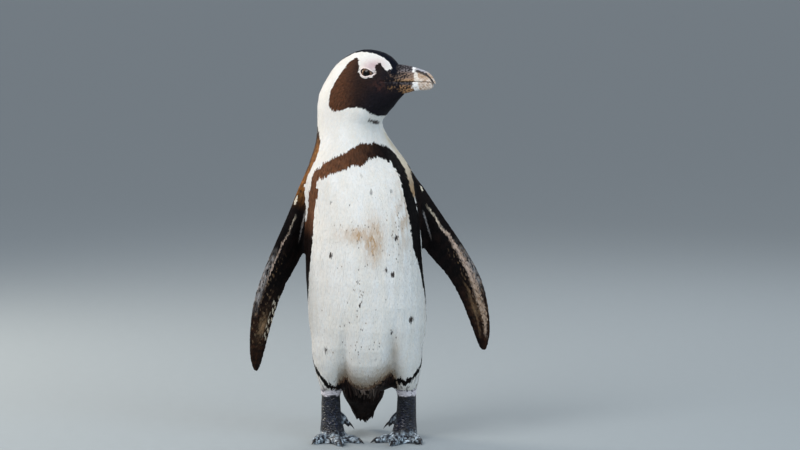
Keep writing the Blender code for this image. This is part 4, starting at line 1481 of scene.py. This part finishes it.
class Nodes:
    """A material's node tree, with short ways to add and join nodes."""

    def __init__(self, name):
        self.material = bpy.data.materials.new(name)
        self.material.use_nodes = True
        self.tree = self.material.node_tree
        self.shader = self.tree.nodes["Principled BSDF"]

    def add(self, kind, inputs=None, **settings):
        """A new node, with its inputs joined to the outputs or set to the values given."""
        node = self.tree.nodes.new("ShaderNode" + kind)
        for key, value in settings.items():
            setattr(node, key, value)
        self.feed(node, inputs or {})
        return node

    def feed(self, node, inputs):
        """Joins each input to an output, or sets it to a value."""
        for key, value in inputs.items():
            if isinstance(value, bpy.types.NodeSocket):
                self.tree.links.new(value, node.inputs[key])
            else:
                node.inputs[key].default_value = value

    def noise(self, vector, scale, detail=3.0):
        return self.add("TexNoise", {"Vector": vector, "Scale": scale, "Detail": detail}).outputs["Fac"]

    def stretched(self, vector, scale):
        return self.add("Mapping", {"Vector": vector, "Scale": scale}).outputs["Vector"]

    def remap(self, value, to_low, to_high, low=0.3, high=0.7):
        """A value from low to high as one from to_low to to_high: noise lies mostly in 0.3 to 0.7."""
        before = {"Value": value, "From Min": low, "From Max": high}
        return self.add("MapRange", {**before, "To Min": to_low, "To Max": to_high}).outputs["Result"]

    def scaled_colour(self, colour_output, factor):
        """A colour made lighter or darker by a factor."""
        node = self.add("VectorMath", {0: colour_output, "Scale": factor}, operation="SCALE")
        return node.outputs["Vector"]

    def ramp(self, value, stops):
        """Colours along a value, from rows of place and colour."""
        node = self.add("ValToRGB", {"Fac": value})
        elements = node.color_ramp.elements
        while len(elements) < len(stops):
            elements.new(0.5)
        for element, (place, seen) in zip(elements, stops):
            element.position = place
            element.color = (*seen, 1)
        return node.outputs["Color"]

    def bump(self, height, strength, distance, **more):
        inputs = {"Height": height, "Strength": strength, "Distance": distance, **more}
        return self.add("Bump", inputs).outputs["Normal"]

    def attribute(self, name):
        return self.add("Attribute", attribute_name=name).outputs["Fac"]

    def tint(self):
        return self.add("Attribute", attribute_name="tint").outputs["Color"]

    def position(self):
        return self.add("TexCoord").outputs["Object"]

    def finished(self, colour_output, roughness, **inputs):
        """The material, with its looks joined to its shader."""
        named = {key.replace("_", " "): value for key, value in inputs.items()}
        self.feed(self.shader, {"Base Color": colour_output, "Roughness": roughness, **named})
        return self.material


def plumage_material(name, barbs):
    """Feather: tint from the markings, fine barbs along each vane, and a dull finish."""
    nodes = Nodes(name)
    barb = nodes.add("Attribute", attribute_name="barb").outputs["Vector"]
    fine = nodes.noise(nodes.stretched(barb, (2.4, 0.35, 1.0)), 1.0, 2.0)
    cloud = nodes.noise(nodes.position(), 260.0)
    barred = nodes.scaled_colour(nodes.tint(), nodes.remap(fine, 1 - 0.06 * barbs, 1 + 0.06 * barbs))
    return nodes.finished(
        nodes.scaled_colour(barred, nodes.remap(cloud, 0.97, 1.03)),
        nodes.remap(cloud, 0.55, 0.78),
        Normal=nodes.bump(fine, 0.35, 0.0002),
        Specular_IOR_Level=0.08,
    )


def foot_material():
    """Tough skin in small raised scales, with pale dust caught on the toes and a painted pale highlight
    on the hind toes.
    """
    nodes = Nodes("foot_skin")
    place = nodes.position()
    scaled = {"Vector": nodes.stretched(place, (0.5, 0.5, 1.2)), "Scale": 300.0}
    scales = nodes.add("TexVoronoi", scaled, feature="DISTANCE_TO_EDGE")
    edge = nodes.remap(scales.outputs["Distance"], 0.0, 1.0, 0.0, 0.2)
    grain = nodes.noise(place, 700.0, 6.0)
    plain = nodes.attribute("smooth_skin")
    plates = {"Factor": plain, "A": nodes.remap(edge, 0.3, 1.5, 0.0, 1.0), "B": 1.0}
    shade = nodes.add("Mix", plates, data_type="FLOAT").outputs["Result"]
    patchy = nodes.remap(nodes.noise(place, 260.0, 9.0), 0.0, 0.9, 0.42, 0.62)
    pale_share = nodes.add("Math", {0: nodes.attribute("dust"), 1: patchy}, operation="MULTIPLY")
    pale_mix = nodes.add("Mix", data_type="RGBA")
    skin = nodes.scaled_colour(nodes.tint(), shade)
    nodes.feed(pale_mix, {"Factor": pale_share.outputs["Value"], "A": skin, "B": (*DUST_AND_HIGHLIGHT, 1)})
    raised = nodes.bump(edge, 1.0, 0.0008)
    return nodes.finished(
        pale_mix.outputs["Result"],
        nodes.remap(grain, 0.28, 0.48),
        Normal=nodes.bump(grain, 0.5, 0.0005, Normal=raised),
        Specular_IOR_Level=0.5,
    )


def bare_material():
    """Bare pink skin of the lids."""
    nodes = Nodes("bare_skin")
    grain = nodes.noise(nodes.position(), 1400.0)
    return nodes.finished(
        nodes.scaled_colour(nodes.tint(), nodes.remap(grain, 0.9, 1.06)),
        nodes.remap(grain, 0.42, 0.6),
        Normal=nodes.bump(grain, 0.35, 0.0002),
        Specular_IOR_Level=0.45,
    )


def horn_material():
    """The bill: tint from its markings, finely grained along its length."""
    nodes = Nodes("bill_horn")
    place = nodes.position()
    fine = nodes.noise(nodes.stretched(place, (1.0, 1.0, 2.5)), 900.0, 5.0)
    return nodes.finished(
        nodes.scaled_colour(nodes.tint(), nodes.remap(fine, 0.78, 1.18)),
        nodes.remap(nodes.noise(place, 240.0), 0.34, 0.55),
        Normal=nodes.bump(fine, 0.4, 0.0003),
        Specular_IOR_Level=0.14,
    )


def claw_material():
    """Black horn with paler grain along it."""
    nodes = Nodes("claw_horn")
    fine = nodes.noise(nodes.stretched(nodes.position(), (1.0, 1.0, 0.4)), 1200.0)
    return nodes.finished(
        nodes.ramp(fine, ((0.35, BLACK), (0.75, HORN_DARK))),
        nodes.remap(fine, 0.25, 0.45),
        Normal=nodes.bump(fine, 0.3, 0.0002),
    )


def eye_material():
    """Brown iris round a black pupil, under a wet surface."""
    nodes = Nodes("eye")
    rings = (  # distance from the gaze, colour
        (0.0, colour(6, 5, 5)), (PUPIL - 0.15, colour(6, 5, 5)), (PUPIL + 0.25, colour(58, 36, 24)),
        (5.9, colour(136, 104, 80)), (IRIS, colour(40, 28, 23)), (9.0, colour(16, 12, 11)),
    )
    share = nodes.remap(nodes.attribute("off_axis"), 0.0, 1.0, 0.0, EYE_SPAN)
    iris = nodes.ramp(share, [(place / EYE_SPAN, seen) for place, seen in rings])
    flecks = nodes.noise(nodes.position(), 1500.0)
    return nodes.finished(
        nodes.scaled_colour(iris, nodes.remap(flecks, 0.75, 1.25)),
        nodes.remap(flecks, 0.10, 0.16),
        Normal=nodes.bump(flecks, 0.05, 0.0001),
        Coat_Weight=0.15,
        Coat_Roughness=0.03,
        Specular_IOR_Level=0.2,
    )


def floor_material():
    nodes = Nodes("floor")
    grain = nodes.noise(nodes.position(), 60.0, 6.0)
    tone = nodes.ramp(grain, ((0.0, colour(150, 158, 162)), (1.0, colour(160, 168, 172))))
    return nodes.finished(tone, nodes.remap(grain, 0.75, 0.9))


# ---------------------------------------------------------------- stage

FLOOR_HALF = 90.0  # metres, so that the floor fills the view
LENS, SENSOR = 135.1, 36.0
CAMERA_DISTANCE, CAMERA_ELEVATION = 3950.0, 6.0
CAMERA_AIM = (44.1, 0.0, 286.3)
LIGHT_AIM = (0, 0, 0.27)  # metres
SKY = (0.86, 0.92, 1.0, 1)
LIGHTS = (  # place, size, power, colour
    ((-950, -1150, 1650), 1.2, 25.0, (1.0, 0.975, 0.94)),
    ((-1300, 900, 1000), 0.6, 15.0, (1.0, 0.91, 0.78)),
    ((1500, -1300, 1100), 1.4, 13.0, (0.64, 0.84, 1.0)),
    ((700, 1500, 1500), 0.9, 8.0, (0.95, 0.97, 1.0)),
)


def turned_to(obj, place, direction):
    """Puts a light or the camera at a place, looking in a direction."""
    obj.location = place
    obj.rotation_euler = Vector(direction).to_track_quat("-Z", "Y").to_euler()


def build_stage():
    floor_mesh = bpy.data.meshes.new("floor")
    corners = [(x * FLOOR_HALF, y * FLOOR_HALF, 0) for x, y in ((-1, -1), (1, -1), (1, 1), (-1, 1))]
    floor_mesh.from_pydata(corners, [], [(0, 1, 2, 3)])
    dress(floor_mesh, floor_material())
    add_object("floor", floor_mesh)
    for i, (place, size, power, tone) in enumerate(LIGHTS):
        light = bpy.data.lights.new(f"softbox_{i + 1}", "AREA")
        light.shape, light.size = "DISK", size
        light.energy, light.color = power, tone
        place = Vector(to_scene(place))
        turned_to(add_object(light.name, light), place, Vector(LIGHT_AIM) - place)
    world = bpy.data.worlds.new("studio")
    world.use_nodes = True
    background = world.node_tree.nodes["Background"]
    background.inputs["Color"].default_value = SKY
    background.inputs["Strength"].default_value = 0.5
    scene = bpy.context.scene
    scene.world = world
    scene.view_settings.view_transform = "Standard"
    camera_data = bpy.data.cameras.new("camera")
    camera_data.lens, camera_data.sensor_width = LENS, SENSOR
    scene.camera = add_object("camera", camera_data)
    a = math.radians(CAMERA_ELEVATION)
    forward = np.array((0, math.cos(a), -math.sin(a)))
    turned_to(scene.camera, to_scene(CAMERA_AIM) - forward * CAMERA_DISTANCE * MM, forward)


# ---------------------------------------------------------------- the bird

def main():
    build_stage()
    skin = build_skin()
    build_coat(skin)
    for name in BILL:
        bill_object(name)
    for name in sorted(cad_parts):
        if name.startswith("claw"):
            claw_object(name)
    for eye in EYES:
        eye_object(eye)


main()
